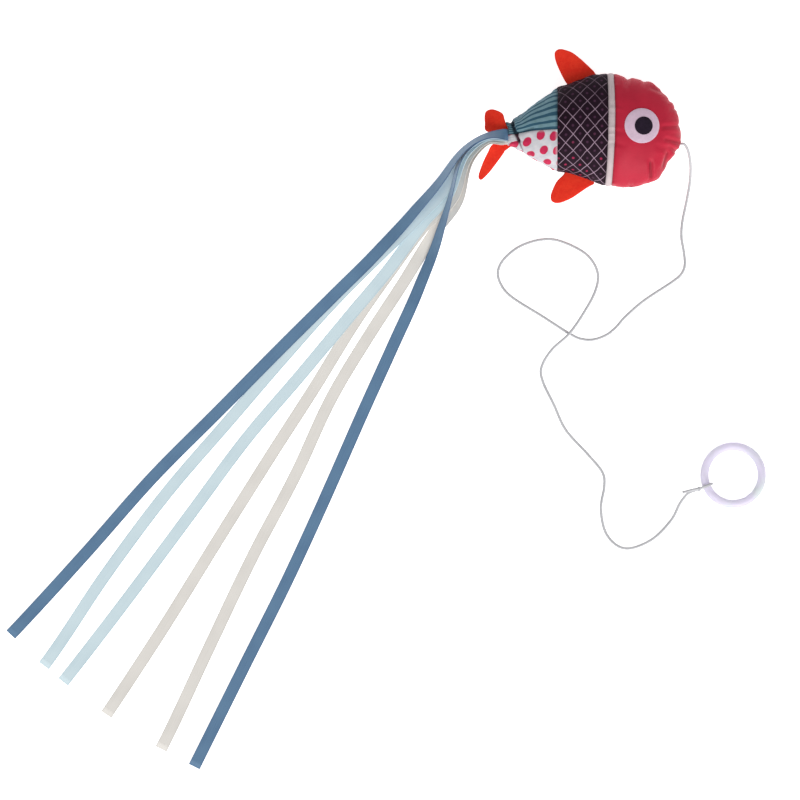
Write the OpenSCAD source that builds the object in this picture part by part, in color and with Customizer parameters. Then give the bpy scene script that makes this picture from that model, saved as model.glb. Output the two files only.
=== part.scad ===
// Cat teaser: a stuffed patchwork fish with six tail ribbons, an elastic
// string from its nose and a finger ring. It lies on its left side, with its
// nose along +X, its back towards +Y and its seam level above the surface z = 0.
// The origin is under the middle of the printed body panel.

/* [Fish body] */
// Height of the fish across the head seam, half of it
half_height = 28; // [22:1:36]
// Thickness of the stuffed body, half of it
half_thick = 17; // [12:0.5:22]
// Length of the head, from the white band to the nose
head_len = 33.75; // [26:0.25:42]
// Width of the white band behind the head
band_width = 3.25; // [2.5:0.25:7]
// Length of the printed body panel
panel_len = 24; // [18:1:34]
// Length of the striped and dotted tail panels
tail_len = 24.5; // [18:0.5:34]
// Thickness of the sewn cloth
cloth = 0.8; // [0.5:0.1:1.2]
// Depth to which the body is pressed flat where it lies
rest_press = 0.5; // [0.3:0.1:1]
// How far the nose lies below the middle of the head
nose_drop = 2.5; // [0:0.5:5]

/* [Eyes] */
// Radius of the white eye patch
eye_radius = 8.75; // [6:0.25:10]
// Radius of the pupil patch
pupil_radius = 4.5; // [3:0.25:5.5]
// Place of the eye's middle along the head, as a share of its length from the seam
eye_ahead_share = 0.421; // [0.36:0.001:0.48]
// Height of the eye's middle above the middle line
eye_up = 1.6; // [-2:0.2:5]
// How far the pupil lies in front of the eye's middle
pupil_ahead = 0.85; // [0:0.05:2]
// Thickness of the white eye patch
eye_thick = 0.4; // [0.2:0.05:0.4]
// Thickness of the pupil patch
pupil_thick = 0.3; // [0.2:0.05:0.4]

/* [Felt fins] */
// Thickness of the felt
felt = 2; // [1.2:0.2:2.6]
// Root length of the back fin
dorsal_root = 15.5; // [10:0.5:20]
// Height of the back fin
dorsal_reach = 16; // [10:0.5:24]
// Distance of the back fin's root from the head seam, along the body
dorsal_setback = 23.35; // [22:0.05:32]
// Root length of the belly fin
pelvic_root = 14.8; // [10:0.5:20]
// Height of the belly fin
pelvic_reach = 14.5; // [10:0.5:24]
// Distance of the belly fin's root from the head seam, along the body
pelvic_setback = 24.5; // [22:0.25:32]
// How far the tail lobes reach back from the tail end
lobe_back = 11; // [8:0.5:16]
// How far the upper tail lobe rises
upper_lobe_rise = 12.7; // [8:0.5:18]
// How far the lower tail lobe hangs
lower_lobe_drop = 22.25; // [14:0.5:28]
// How far back the tip of the lower lobe lies
lower_lobe_back = 14.1; // [8:0.5:18]

/* [Ribbons] */
// Width of a ribbon
ribbon_width = 6; // [4:0.5:8]
// Thickness of a ribbon
ribbon_thick = 0.3; // [0.2:0.05:0.5]
// Straight distance from the tail to a ribbon's cut end
ribbon_reach = 353; // [200:1:420]
// Distance behind the tail's fold at which a ribbon starts
ribbon_setback = 2.5; // [2.2:0.1:4]
// Distance over which the ribbons come down to the surface
ribbon_fall = 62; // [50:1:90]

/* [String and ring] */
// Diameter of the elastic string
cord = 1.2; // [0.8:0.1:1.6]
// How far below the nose the string leaves the head
exit_drop = 4.7; // [2:0.1:8]
// Radius of the finger ring, to the middle of its bar
ring_radius = 14.4; // [11:0.2:18]
// Thickness of the ring's round bar
ring_bar = 4.2; // [3:0.2:5.5]
// Radius of the knot at the ring
knot_radius = 1.25; // [1:0.05:2]
// Length of the cut end that stands out of the knot
cut_end_len = 6.75; // [3:0.25:10]

/* [Hidden] */

// Gap between two pieces that move against each other
play = 0.3;
// Gap between the ring's bar and the loop round it
loop_play = 0.15;
// Gap between a sewn patch and what it lies on
patch_gap = 0.1;
// Gap between the cloth and the stuffing
stuffing_gap = 0.2;
// Gap between ribbons that lie on each other
ribbon_gap = 0.15;
// Power that makes the section meet the seam in a shallow edge
crown_power = 1.1;

// Profile of the body behind the head, as shares of half_height and half_thick,
// evenly spaced from the head seam to the tail end
back_shares = [1, 0.979, 0.918, 0.832, 0.732, 0.609, 0.477, 0.282, 0.098];
belly_shares = [1, 0.94, 0.866, 0.796, 0.739, 0.645, 0.536, 0.411, 0.288];
thick_shares = [0.95, 1.01, 1, 1, 0.958, 0.865, 0.71, 0.49, 0.22];
// The same for the head, every ten degrees from the seam to the nose
brow_shares = [1, 0.95, 0.984, 1.015, 1.04, 1.065, 1.12, 1.2, 1.2, 1.15];
chin_shares = [1, 1.02, 1.023, 1.055, 1.085, 0.91, 0.87, 0.97, 1.25, 1.25];

// Free edges of the fins, from the front of the root round to its back
dorsal_shares = [
    [1, 0], [0.77, 0.41], [0.63, 0.635], [0.48, 0.82], [0.2, 1],
    [0, 0.96], [-0.07, 0.72], [-0.05, 0.34], [0, 0]
];
pelvic_shares = [
    [1, 0], [0.76, 0.355], [0.52, 0.66], [0.25, 0.905], [0.04, 1],
    [-0.12, 0.96], [-0.19, 0.8], [-0.19, 0.57], [-0.14, 0.27], [0, 0]
];
upper_lobe_shares = [
    [0, 0.35], [0.08, 0.6], [0.19, 0.85], [0.55, 1], [0.79, 0.996],
    [0.95, 0.905], [1, 0.736], [0.99, 0.48], [0.9, 0.13], [0, 0.01]
];
lower_lobe_shares = [
    [0, 0.01], [0.5, 0.21], [0.67, 0.393], [0.84, 0.613], [0.96, 0.82], [1, 0.935],
    [0.96, 1], [0.86, 1], [0.67, 0.872], [0.51, 0.728], [0.31, 0.548], [0.11, 0.342],
    [0, 0.2]
];

// Ribbon by ribbon, from the upper blue one to the lower blue one: the direction
// from the tail's end to the ribbon's middle line, below the line of the fish, at
// places whose distance grows with the square of their number
ribbon_angles = [
    [0, 1, 6, 18.5, 33.4, 39.1, 41.6, 42.45, 43, 43.5, 43.8, 44.6, 45.05],
    [0, 2, 8, 21, 37, 41.8, 42.8, 43.4, 44.5, 45.5, 46.2, 47.4, 48.75],
    [0, 2, 9, 22, 40, 45.5, 48, 48.6, 49, 49.1, 49.9, 50.5, 50.8],
    [0, 3, 10, 25, 43, 46.9, 48.8, 50.45, 52.3, 53.35, 54.2, 54.9, 55.2],
    [0, 4, 12, 28, 49.8, 52.4, 54.3, 55, 55.9, 57.8, 58.65, 59.65, 60.45],
    [0, 2, 9, 22, 43, 55.2, 59.5, 61.15, 62.2, 63.05, 63.5, 63.5, 63.5]
];
// How many ribbons lie under it there
ribbon_places = [
    [5, 5, 5, 5, 5, 4.4, 4, 2.8, 1.3, 1, 0.4, 0, 0],
    [3, 3, 3, 3, 3, 3, 3, 1.6, 0, 0, 0, 0, 0],
    [2, 2, 2, 2, 2, 2, 2, 1.9, 0.6, 0, 0, 0, 0],
    [1, 1, 1, 1, 1, 1, 1, 0.9, 0, 0, 0, 0, 0],
    [0, 0, 0, 0, 0, 0, 0, 0, 0, 0, 0, 0, 0],
    [4, 4, 4, 4, 4, 3.7, 1.2, 0, 0, 0, 0, 0, 0]
];
ribbon_steps = 44;

// Direction in which the ring lies from the knot, from +X towards +Y
ring_heading = 22;
// Radius of the stopper knot inside the head
stopper_radius = 2.2;
// Depth of the stopper knot behind the nose
stopper_depth = 9;
// How far the string stands out of the nose seam before it is free
string_lead = 1;
// Places of the string after it leaves the nose: along X and Y from the
// nose exit, and the gap under the string
string_route = [
    [1.2, 0, 15.9], [2.5, -1.5, 15.2], [3.6, -4.1, 13.7], [4.45, -8, 10.8],
    [4.85, -13, 6.8], [4.4, -20, 2.8], [2.9, -28.8, 0.6], [1, -38, 0], [0.4, -46, 0],
    [1.7, -54.4, 0], [2.1, -60.4, 0], [0.2, -65, 0], [-4.6, -69, 0],
    [-18.2, -78, 0], [-27.7, -86.2, 0], [-32.1, -91.2, 0], [-36.7, -95, 0],
    [-43.2, -97.5, 0], [-49.7, -97.3, 0], [-56.2, -94.3, 0], [-69.2, -86, 0],
    [-84.7, -76.2, 0], [-90.2, -69.5, 0], [-91.4, -63.3, 0], [-88.3, -57.2, 0],
    [-80.6, -51, 0], [-70, -47.6, 0], [-60, -48.4, 0], [-47.4, -54.8, 0],
    [-41.6, -63.8, 0], [-42.6, -73, 0.4], [-48.4, -84, 1.3], [-55.8, -94.6, 1.5],
    [-64.6, -102.8, 0.8], [-69.6, -111.4, 0], [-69, -118.6, 0], [-63.3, -130.6, 0],
    [-57.4, -143, 0], [-46.2, -155.4, 0], [-39.2, -164, 0], [-38.2, -171, 0],
    [-39.9, -182, 0], [-37.8, -193.6, 0], [-32, -200.6, 0], [-24.6, -202, 0],
    [-13.7, -197.2, 0], [-4.6, -187.8, 0], [-0.4, -179.7, 0.4], [3.6, -174.7, 1.6]
];
// Where the string ends at the knot, along X and Y from the nose exit
string_reach = [7.68, -172.9];
// Longest stretch of string between two rings of points
string_spacing = 5.6;
cord_sides = 8;

// Steps of the sewn body round its section and along the head
angle_step = 10;
turn_step = 10;
// Distance between the ends of a fin's root, as a share of its length
root_chord_share = 0.94;
fin_steps = 30;
// Thickness of a turn of the knot, and the place of its second turn
knot_turn_share = 0.385;
second_turn_share = 1.7;

// Places along the body
band_back = panel_len / 2;
head_x = band_back + band_width;
tail_x = -panel_len / 2;
tail_end = tail_x - tail_len;
rear_len = panel_len + tail_len;
rest_height = half_thick - rest_press;
eye_x = head_x + eye_ahead_share * head_len;
exit_x = head_x + head_len + string_lead / 2;
exit_y = -nose_drop - exit_drop;

// The ring is tilted a little, because the loop passes under it
loop_radius = ring_bar / 2 + cord / 2 + loop_play;
knot_height = loop_radius + cord / 2 + patch_gap;
ring_tilt = asin((knot_height - ring_bar / 2) / (2 * ring_radius));
ring_dir = [cos(ring_heading), sin(ring_heading), 0];
knot_ahead = loop_radius + knot_radius;
string_end = [exit_x + string_reach[0], exit_y + string_reach[1], knot_height];
knot_at = string_end + (knot_radius + play) * ring_dir;
bar_at = knot_at + knot_ahead * ring_dir;
ring_at = bar_at + ring_radius * [
    cos(ring_heading) * cos(ring_tilt), sin(ring_heading) * cos(ring_tilt), -sin(ring_tilt)
];

// Value of a smooth curve through evenly spaced values, at a share of its length
function curve(a, b, c, d, t) = (2 * b + (c - a) * t + (2 * a - 5 * b + 4 * c - d) * t * t
    + (3 * b - a - 3 * c + d) * t * t * t) / 2;
function clamp_index(i, values) = min(max(i, 0), len(values) - 1);
function along(values, share) = let (
    u = min(max(share, 0), 1) * (len(values) - 1),
    i = min(floor(u), len(values) - 2)
) curve(values[clamp_index(i - 1, values)], values[i], values[i + 1],
    values[clamp_index(i + 2, values)], u - i);
function smooth_line(points, steps) = [
    for (i = [0:steps]) along(points, i / steps)
];
function ease(t) = let (u = min(max(t, 0), 1)) u * u * (3 - 2 * u);

// A station is [x, upper edge, lower edge, half thickness], inset by depth
function rear_station(x, depth) = let (s = (band_back - x) / rear_len) [
    x,
    half_height * along(back_shares, s) - depth,
    depth - half_height * along(belly_shares, s),
    half_thick * along(thick_shares, s) - depth
];
function head_station(turn, depth) = let (
    s = turn / 90,
    tall = (half_height - depth) * cos(turn),
    drop = -nose_drop * sin(turn) * sin(turn)
) [
    head_x + (head_len - depth) * sin(turn),
    drop + tall * along(brow_shares, s),
    drop - tall * along(chin_shares, s),
    (half_thick * thick_shares[0] - depth) * cos(turn)
];
function nose_point(depth) = [head_x + head_len - depth, -nose_drop, rest_height];

// Height of the cloth above the seam plane, pressed flat where the fish lies
function skin_height(thick, share, side, depth) =
    rest_height + max(side * thick * pow(share, crown_power), depth - rest_height);
function skin_point(station, angle, side, depth) = [
    station[0],
    (station[1] + station[2]) / 2 + (station[1] - station[2]) / 2 * cos(angle),
    skin_height(station[3], sin(angle), side, depth)
];
function skin_row(station, from, to, side, depth) = [
    for (angle = [from:angle_step:to]) skin_point(station, angle, side, depth)
];
function rear_rows(xs, from, to, side, depth) = [
    for (x = xs) skin_row(rear_station(x, depth), from, to, side, depth)
];
function head_rows(side, depth) = [
    for (turn = [0:turn_step:90 - turn_step]) skin_row(head_station(turn, depth), 0, 180, side, depth)
];

// Places of the rows of points along each length of the body
panel_xs = [for (i = [0:4]) band_back - i * panel_len / 4];
tail_xs = [for (i = [0:6]) tail_x - i * tail_len / 6];
band_xs = [head_x, band_back];

function flat(lists) = [for (list = lists) each list];
function face(a, b, c, winding) = winding > 0 ? [a, b, c] : [c, b, a];
function quad(a, b, c, d, winding) = [face(a, b, c, winding), face(a, c, d, winding)];

// A piece of cloth between two grids of points, closed round its edges. A tip
// closes the last row to one point, and winding turns the faces round.
module cloth_shell(outer, inner, winding, tips = []) {
    rows = len(outer);
    cols = len(outer[0]);
    count = rows * cols;
    last = (rows - 1) * cols;
    tip = 2 * count;
    faces = concat(
        flat([for (i = [0:rows - 2], j = [0:cols - 2]) let (a = i * cols + j)
            concat(
                quad(a, a + 1, a + cols + 1, a + cols, winding),
                quad(count + a, count + a + cols, count + a + cols + 1, count + a + 1, winding)
            )]),
        flat([for (j = [0:cols - 2]) quad(j + 1, j, count + j, count + j + 1, winding)]),
        flat([for (i = [0:rows - 2]) let (a = i * cols, b = a + cols - 1) concat(
            quad(a, a + cols, count + a + cols, count + a, winding),
            quad(b + cols, b, count + b, count + b + cols, winding)
        )]),
        len(tips) == 2
            ? concat(
                flat([for (j = [0:cols - 2]) let (a = last + j) [
                    face(a, a + 1, tip, winding),
                    face(count + a + 1, count + a, tip + 1, winding)
                ]]),
                quad(last, tip, tip + 1, count + last, winding),
                quad(tip, last + cols - 1, count + last + cols - 1, tip + 1, winding)
            )
            : flat([for (j = [0:cols - 2]) let (a = last + j)
                quad(a, a + 1, count + a + 1, count + a, winding)])
    );
    polyhedron(concat(flat(outer), flat(inner), tips), faces);
}

// A solid swept along points, with a section given as [across, up] pairs
function heading(points, i) = let (
    n = len(points) - 1,
    v = points[min(i + 1, n)] - points[max(i - 1, 0)]
) v / norm(v);
function across_of(v) = [-v[1], v[0], 0] / norm([v[0], v[1]]);
module sweep(points, section) {
    skin_rows([for (i = [0:len(points) - 1]) let (
        v = heading(points, i),
        w = across_of(v),
        u = cross(v, w)
    ) [for (s = section) points[i] + s[0] * w + s[1] * u]]);
}

// A closed solid through rings of points, with flat ends
module skin_rows(rings) {
    k = len(rings[0]);
    n = len(rings);
    sides = flat([for (i = [0:n - 2], j = [0:k - 1]) let (
        a = i * k + j,
        b = i * k + (j + 1) % k
    ) [[a, a + k, b + k], [a, b + k, b]]]);
    caps = concat(
        [for (j = [1:k - 2]) [0, j, j + 1]],
        [for (j = [1:k - 2]) let (e = (n - 1) * k) [e, e + j + 1, e + j]]
    );
    polyhedron(flat(rings), concat(sides, caps));
}

// Sewn body

module head_shell(side) {
    color([0.78, 0.16, 0.26])
        cloth_shell(head_rows(side, 0), head_rows(side, cloth), -side,
            [nose_point(0), nose_point(cloth)]);
}

module rear_shell(xs, from, to, side, paint) {
    color(paint)
        cloth_shell(rear_rows(xs, from, to, side, 0), rear_rows(xs, from, to, side, cloth), side);
}

module band(side) {
    rear_shell(band_xs, 0, 180, side, [0.82, 0.82, 0.82]);
}

module body_panel(side) {
    rear_shell(panel_xs, 0, 180, side, [0.16, 0.08, 0.15]);
}

module back_panel(side) {
    rear_shell(tail_xs, 0, 90, side, [0.35, 0.56, 0.62]);
}

module belly_panel(side) {
    rear_shell(tail_xs, 90, 180, side, [0.86, 0.88, 0.88]);
}

// Closed core of fibre, with a flat end at the tail and a tip at the nose
module stuffing() {
    depth = cloth + stuffing_gap;
    stations = concat(
        [for (turn = [90 - turn_step:-turn_step:0]) head_station(turn, depth)],
        [for (x = concat([band_back], [for (i = [1:4]) panel_xs[i]], [for (i = [1:6]) tail_xs[i]]))
            rear_station(x, depth)]
    );
    turns = [0:angle_step:360 - angle_step];
    rows = [for (s = stations) [for (a = turns)
        skin_point(s, a <= 180 ? a : 360 - a, a <= 180 ? 1 : -1, depth)]];
    cols = len(rows[0]);
    count = len(rows) * cols;
    faces = concat(
        flat([for (i = [0:len(rows) - 2], j = [0:cols - 1]) let (
            a = i * cols + j,
            b = i * cols + (j + 1) % cols
        ) quad(a, b, b + cols, a + cols, 1)]),
        [for (j = [0:cols - 1]) [(j + 1) % cols, j, count]],
        [for (j = [1:cols - 2]) let (e = count - cols) [e, e + j, e + j + 1]]
    );
    color([0.95, 0.95, 0.93])
        polyhedron(concat(flat(rows), [nose_point(depth)]), faces);
}

// Height of the head's skin above the seam plane, over a place on it
function cheek(x, y) = let (
    station = head_station(asin((x - head_x) / head_len), 0),
    share = (y - (station[1] + station[2]) / 2) / ((station[1] - station[2]) / 2)
) station[3] * pow(sqrt(1 - share * share), crown_power);

// A round patch laid on the cheek, between two heights above the skin
module cheek_patch(x, y, radius, low, high, side, paint) {
    rings = 4;
    cols = 24;
    count = 1 + rings * cols;
    spots = concat([[x, y]], [for (i = [1:rings], j = [0:cols - 1]) let (
        r = radius * i / rings,
        a = 360 * j / cols
    ) [x + r * cos(a), y + r * sin(a)]]);
    layer = function (lift) [for (s = spots)
        [s[0], s[1], rest_height + side * (cheek(s[0], s[1]) + lift)]];
    faces = concat(
        flat([for (j = [0:cols - 1]) let (a = 1 + j, b = 1 + (j + 1) % cols)
            [face(0, b, a, side), face(count, count + a, count + b, side)]]),
        flat([for (i = [0:rings - 2], j = [0:cols - 1]) let (
            a = 1 + i * cols + j,
            b = 1 + i * cols + (j + 1) % cols
        ) concat(
            quad(a, b, b + cols, a + cols, side),
            quad(count + b, count + a, count + a + cols, count + b + cols, side)
        )]),
        flat([for (j = [0:cols - 1]) let (
            a = 1 + (rings - 1) * cols + j,
            b = 1 + (rings - 1) * cols + (j + 1) % cols
        ) quad(a, b, count + b, count + a, side)])
    );
    color(paint) polyhedron(concat(layer(high), layer(low)), faces);
}

module eye_white(side) {
    cheek_patch(eye_x, eye_up, eye_radius,
        patch_gap, patch_gap + eye_thick, side, [0.85, 0.84, 0.9]);
}

module pupil(side) {
    low = 2 * patch_gap + eye_thick;
    cheek_patch(eye_x + pupil_ahead, eye_up, pupil_radius,
        low, low + pupil_thick, side, [0.12, 0.09, 0.16]);
}

// Felt fins

// Upper and lower edge of the body behind the head, at a place along it
function edge_at(x, side) = let (s = rear_station(x, 0)) [x, side > 0 ? s[1] : s[2]];
// Root of a fin: [back end, direction, outward direction], clear of the seam
function fin_root(setback, root, side) = let (
    back = edge_at(head_x - setback, side),
    front = edge_at(head_x - setback + root * root_chord_share, side),
    u = (front - back) / norm(front - back),
    v = side * [-u[1], u[0]],
    bulge = max([for (i = [1:7]) (edge_at(back[0] + (front[0] - back[0]) * i / 8, side) - back) * v])
) [back + (bulge + felt / 2 + play) * v, u, v];

module fin(outline, root_len, reach, place, side) {
    turn = atan2(place[1][1], place[1][0]);
    color([0.86, 0.17, 0.09])
        translate([place[0][0], place[0][1], rest_height])
            rotate([0, 0, turn])
                scale([1, side, 1]) {
                    linear_extrude(height = felt, center = true)
                        polygon([for (p = smooth_line(outline, fin_steps))
                            [p[0] * root_len, p[1] * reach]]);
                    rotate([0, 90, 0])
                        cylinder(h = root_len, d = felt, $fn = 32);
                }
}

module dorsal_fin() {
    fin(dorsal_shares, dorsal_root, dorsal_reach, fin_root(dorsal_setback, dorsal_root, 1), 1);
}

module pelvic_fin() {
    fin(pelvic_shares, pelvic_root, pelvic_reach, fin_root(pelvic_setback, pelvic_root, -1), -1);
}

tail_station = rear_station(tail_end, 0);
tail_y = (tail_station[1] + tail_station[2]) / 2;
tail_half = (tail_station[1] - tail_station[2]) / 2;
tail_hinge_x = tail_end - play - felt / 2;

module tail_lobe(outline, back, tall, side) {
    root = tail_half - cloth;
    color([0.86, 0.17, 0.09])
        translate([tail_hinge_x, tail_y, rest_height])
            scale([-1, side, 1]) {
                linear_extrude(height = felt, center = true)
                    polygon([for (p = smooth_line(outline, fin_steps)) [p[0] * back, p[1] * tall]]);
                translate([0, play / 2, 0])
                    rotate([-90, 0, 0])
                        cylinder(h = root - play / 2, d = felt, $fn = 32);
            }
}

module tail_lobe_upper() {
    tail_lobe(upper_lobe_shares, lobe_back, upper_lobe_rise, 1);
}

module tail_lobe_lower() {
    tail_lobe(lower_lobe_shares, lower_lobe_back, lower_lobe_drop, -1);
}

// Ribbons

ribbon_pitch = ribbon_thick + ribbon_gap;
ribbon_root = tail_end - tail_hinge_x + ribbon_setback;
stack_floor = rest_height + felt / 2 + ribbon_gap;
function ribbon_radius(u) = ribbon_root + (ribbon_reach - ribbon_root) * u * u;
function ribbon_spot(k, u) = let (
    r = ribbon_radius(u),
    turn = along(ribbon_angles[k], sqrt(r / ribbon_reach))
) [tail_end - r * cos(turn), tail_y - r * sin(turn)];
// Height of a ribbon's underside over a place, so that ribbons nest where they cross
function ribbon_bed(k, spot) = let (
    r = norm(spot - [tail_end, tail_y]),
    fallen = ease((r - lobe_back - felt) / ribbon_fall)
) stack_floor * (1 - fallen)
    + ribbon_pitch * max(0, along(ribbon_places[k], sqrt(r / ribbon_reach)));

module ribbon(k, paint) {
    spots = [for (i = [0:ribbon_steps]) ribbon_spot(k, i / ribbon_steps)];
    rows = [for (i = [0:ribbon_steps]) let (
        v = heading(spots, i),
        side = ribbon_width / 2 * [-v[1], v[0]],
        near = spots[i] + side,
        far = spots[i] - side,
        low = ribbon_bed(k, near),
        low_far = ribbon_bed(k, far)
    ) [
        [near[0], near[1], low], [near[0], near[1], low + ribbon_thick],
        [far[0], far[1], low_far + ribbon_thick], [far[0], far[1], low_far]
    ]];
    color(paint) skin_rows(rows);
}

// String, knot and ring

string_points = concat(
    [[exit_x, exit_y, rest_height]],
    [for (p = string_route) [exit_x + p[0], exit_y + p[1], p[2] + cord / 2]],
    [string_end]
);
function leg(i) = norm(string_points[i + 1] - string_points[i]);
cord_section = [for (i = [0:cord_sides - 1]) let (a = 360 * (i + 0.5) / cord_sides)
    [cord / 2 * cos(a), cord / 2 * sin(a)]];

module string() {
    n = len(string_points) - 1;
    line = concat(
        [string_points[0]],
        [for (i = [0:n - 1], steps = [max(1, round(leg(i) / string_spacing))], j = [1:steps])
            curve(string_points[max(i - 1, 0)], string_points[i], string_points[i + 1],
                string_points[min(i + 2, n)], j / steps)]
    );
    color([0.86, 0.86, 0.86])
        sweep([for (p = line) [p[0], p[1], max(p[2], cord / 2)]], cord_section);
}

// The end inside the head: a stub through the nose seam and a stopper knot
module string_anchor() {
    color([0.86, 0.86, 0.86])
        translate([exit_x - stopper_depth, exit_y, rest_height]) {
            rotate([0, 90, 0])
                cylinder(h = stopper_depth, d = cord, $fn = 24);
            sphere(r = stopper_radius, $fn = 32);
        }
}

module string_cut_end() {
    side = [-sin(ring_heading), cos(ring_heading), 0];
    color([0.86, 0.86, 0.86])
        sweep([for (i = [0:3]) string_end + (cord + play) * side
            - cut_end_len * i / 3 * ring_dir - [0, 0, knot_height / 2 * i / 3]],
            cord_section);
}

// Places what is drawn along +X from the knot towards the ring
module at_knot() {
    translate(knot_at) rotate([0, 0, ring_heading]) children();
}

module knot_solid() {
    turn = knot_radius * knot_turn_share;
    front = knot_ahead - loop_radius + cord / 2;
    rotate([0, 90, 0])
        rotate_extrude($fn = 40) {
            intersection() {
                circle(r = knot_radius, $fn = 40);
                translate([0, -knot_radius]) square([knot_radius, 2 * knot_radius]);
            }
            square([knot_radius - turn, front]);
            for (i = [0:1])
                translate([knot_radius - turn, i * second_turn_share * turn]) circle(r = turn, $fn = 24);
        }
}

module string_knot() {
    color([0.8, 0.8, 0.8]) at_knot() knot_solid();
}

module string_loop() {
    color([0.86, 0.86, 0.86])
        at_knot()
            difference() {
                translate([knot_ahead, 0, 0])
                    rotate([90, 0, 0])
                        rotate_extrude($fn = 48)
                            translate([loop_radius, 0]) circle(d = cord, $fn = 24);
                knot_solid();
            }
}

module finger_ring() {
    color([0.9, 0.9, 0.93, 0.7])
        translate(ring_at)
            rotate([0, 0, ring_heading])
                rotate([0, ring_tilt, 0])
                    rotate_extrude($fn = 96)
                        translate([ring_radius, 0]) circle(d = ring_bar, $fn = 40);
}

head_shell(1);  // head_right
head_shell(-1);  // head_left
band(1);  // band_right
band(-1);  // band_left
body_panel(1);  // body_panel_right
body_panel(-1);  // body_panel_left
back_panel(1);  // back_panel_right
back_panel(-1);  // back_panel_left
belly_panel(1);  // belly_panel_right
belly_panel(-1);  // belly_panel_left
eye_white(1);  // eye_white_right
eye_white(-1);  // eye_white_left
pupil(1);  // pupil_right
pupil(-1);  // pupil_left
stuffing();
dorsal_fin();
pelvic_fin();
tail_lobe_upper();
tail_lobe_lower();
ribbon(0, [0.33, 0.5, 0.68]);  // ribbon_blue_upper
ribbon(1, [0.8, 0.87, 0.9]);  // ribbon_pale_upper
ribbon(2, [0.8, 0.88, 0.9]);  // ribbon_pale_lower
ribbon(3, [0.89, 0.87, 0.85]);  // ribbon_cream_upper
ribbon(4, [0.89, 0.88, 0.86]);  // ribbon_cream_lower
ribbon(5, [0.33, 0.5, 0.68]);  // ribbon_blue_lower
string();
string_anchor();
string_cut_end();
string_knot();
string_loop();
finger_ring();
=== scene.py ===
"""A cat teaser toy: a stuffed patchwork fish that lies on its left side, with six
tail ribbons, an elastic string from its nose and a finger ring on the string.

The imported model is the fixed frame. Lengths are in metres, with the nose along +X,
the back towards +Y and the floor at z = 0.
"""

import logging
import math
from collections.abc import Callable, Iterable, Iterator, Sequence
from dataclasses import dataclass, field
from enum import Enum

import bmesh
import bpy
import numpy as np
from mathutils import Matrix, Vector, noise
from mathutils.bvhtree import BVHTree


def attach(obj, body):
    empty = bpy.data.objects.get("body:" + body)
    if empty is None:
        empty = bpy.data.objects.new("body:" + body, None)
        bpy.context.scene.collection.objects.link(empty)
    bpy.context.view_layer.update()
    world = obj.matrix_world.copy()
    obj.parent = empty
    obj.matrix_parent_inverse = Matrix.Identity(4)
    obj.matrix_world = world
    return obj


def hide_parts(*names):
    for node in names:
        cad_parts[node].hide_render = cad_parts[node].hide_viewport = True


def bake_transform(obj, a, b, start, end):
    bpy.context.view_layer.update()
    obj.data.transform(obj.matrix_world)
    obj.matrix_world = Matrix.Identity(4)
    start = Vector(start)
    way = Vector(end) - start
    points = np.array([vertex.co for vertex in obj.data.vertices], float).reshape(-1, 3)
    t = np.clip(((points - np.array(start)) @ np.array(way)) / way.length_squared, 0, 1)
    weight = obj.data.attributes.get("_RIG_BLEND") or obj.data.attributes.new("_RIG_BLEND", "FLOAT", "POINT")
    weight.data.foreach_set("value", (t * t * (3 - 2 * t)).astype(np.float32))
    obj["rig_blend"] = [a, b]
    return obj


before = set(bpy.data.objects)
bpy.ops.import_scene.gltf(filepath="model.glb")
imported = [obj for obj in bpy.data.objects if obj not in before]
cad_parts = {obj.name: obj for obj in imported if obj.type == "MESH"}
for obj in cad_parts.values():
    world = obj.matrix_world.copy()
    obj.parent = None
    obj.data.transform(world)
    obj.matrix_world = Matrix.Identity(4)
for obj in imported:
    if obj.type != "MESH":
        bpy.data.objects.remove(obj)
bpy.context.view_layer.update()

log = logging.getLogger("cat_teaser")

MM = 0.001
CIRCLE = 2 * math.pi
RIGHT_ANGLE = math.pi / 2
CLOTH_MAP = "cloth"
SEAM_MARK = "seam_mm"
TURN_MARK = "turn_share"
FOLD_MARK = "fold_depth"
NUMBER_MARK = "point_number"
GRIP_MARK = "seam_grip"

Colour = tuple[int, int, int]
Point = tuple[float, float, float]
Values = dict[str | int, object]
Spots = Callable[[int, int], Sequence[float]]
Mesh = bmesh.types.BMesh


class Body(Enum):
    """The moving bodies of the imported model."""

    ROOT = "root"
    BACK_FIN = "back_fin"
    BELLY_FIN = "belly_fin"
    TAIL = "tail"
    RING_TIE = "ring_tie"
    RING = "ring"


class Side(Enum):
    """The fish's two sides: the right one faces up, the left one lies down."""

    RIGHT = 1
    LEFT = -1


class Zone(Enum):
    """The rows of cloth, from the nose to the tail."""

    HEAD = 0
    BAND = 1
    PANEL = 2
    TAIL = 3


# --- Sums that several pieces share ---


def curve(a: float, b: float, c: float, d: float, t: float) -> float:
    """Reads a smooth curve through four evenly spaced numbers or arrays, between b and c."""
    return (2 * b + (c - a) * t + (2 * a - 5 * b + 4 * c - d) * t * t
            + (3 * b - a - 3 * c + d) * t * t * t) / 2


def along(values: Sequence[float], share: float) -> float:
    """Reads a smooth curve through evenly spaced values.

    Args:
        values: the values, which may be numbers or vectors.
        share: the place on the curve, from 0 to 1.

    Returns:
        The curve's value there.
    """
    last = len(values) - 1
    place = min(max(share, 0.0), 1.0) * last
    i = min(int(place), last - 1)
    return curve(values[max(i - 1, 0)], values[i], values[i + 1],
                 values[min(i + 2, last)], place - i)


def ease(t: float) -> float:
    """Goes smoothly from 0 to 1 as t does."""
    u = min(max(t, 0.0), 1.0)
    return u * u * (3 - 2 * u)


def crowded(count: int, start: float, stop: float, crowd: float) -> list[float]:
    """Spaces count + 1 places, evenly at a crowd of 0 and closer at both ends towards 1."""
    shares = [i / count for i in range(count + 1)]
    return [start + (stop - start) * (t - crowd * math.sin(CIRCLE * t) / CIRCLE) for t in shares]


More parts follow.
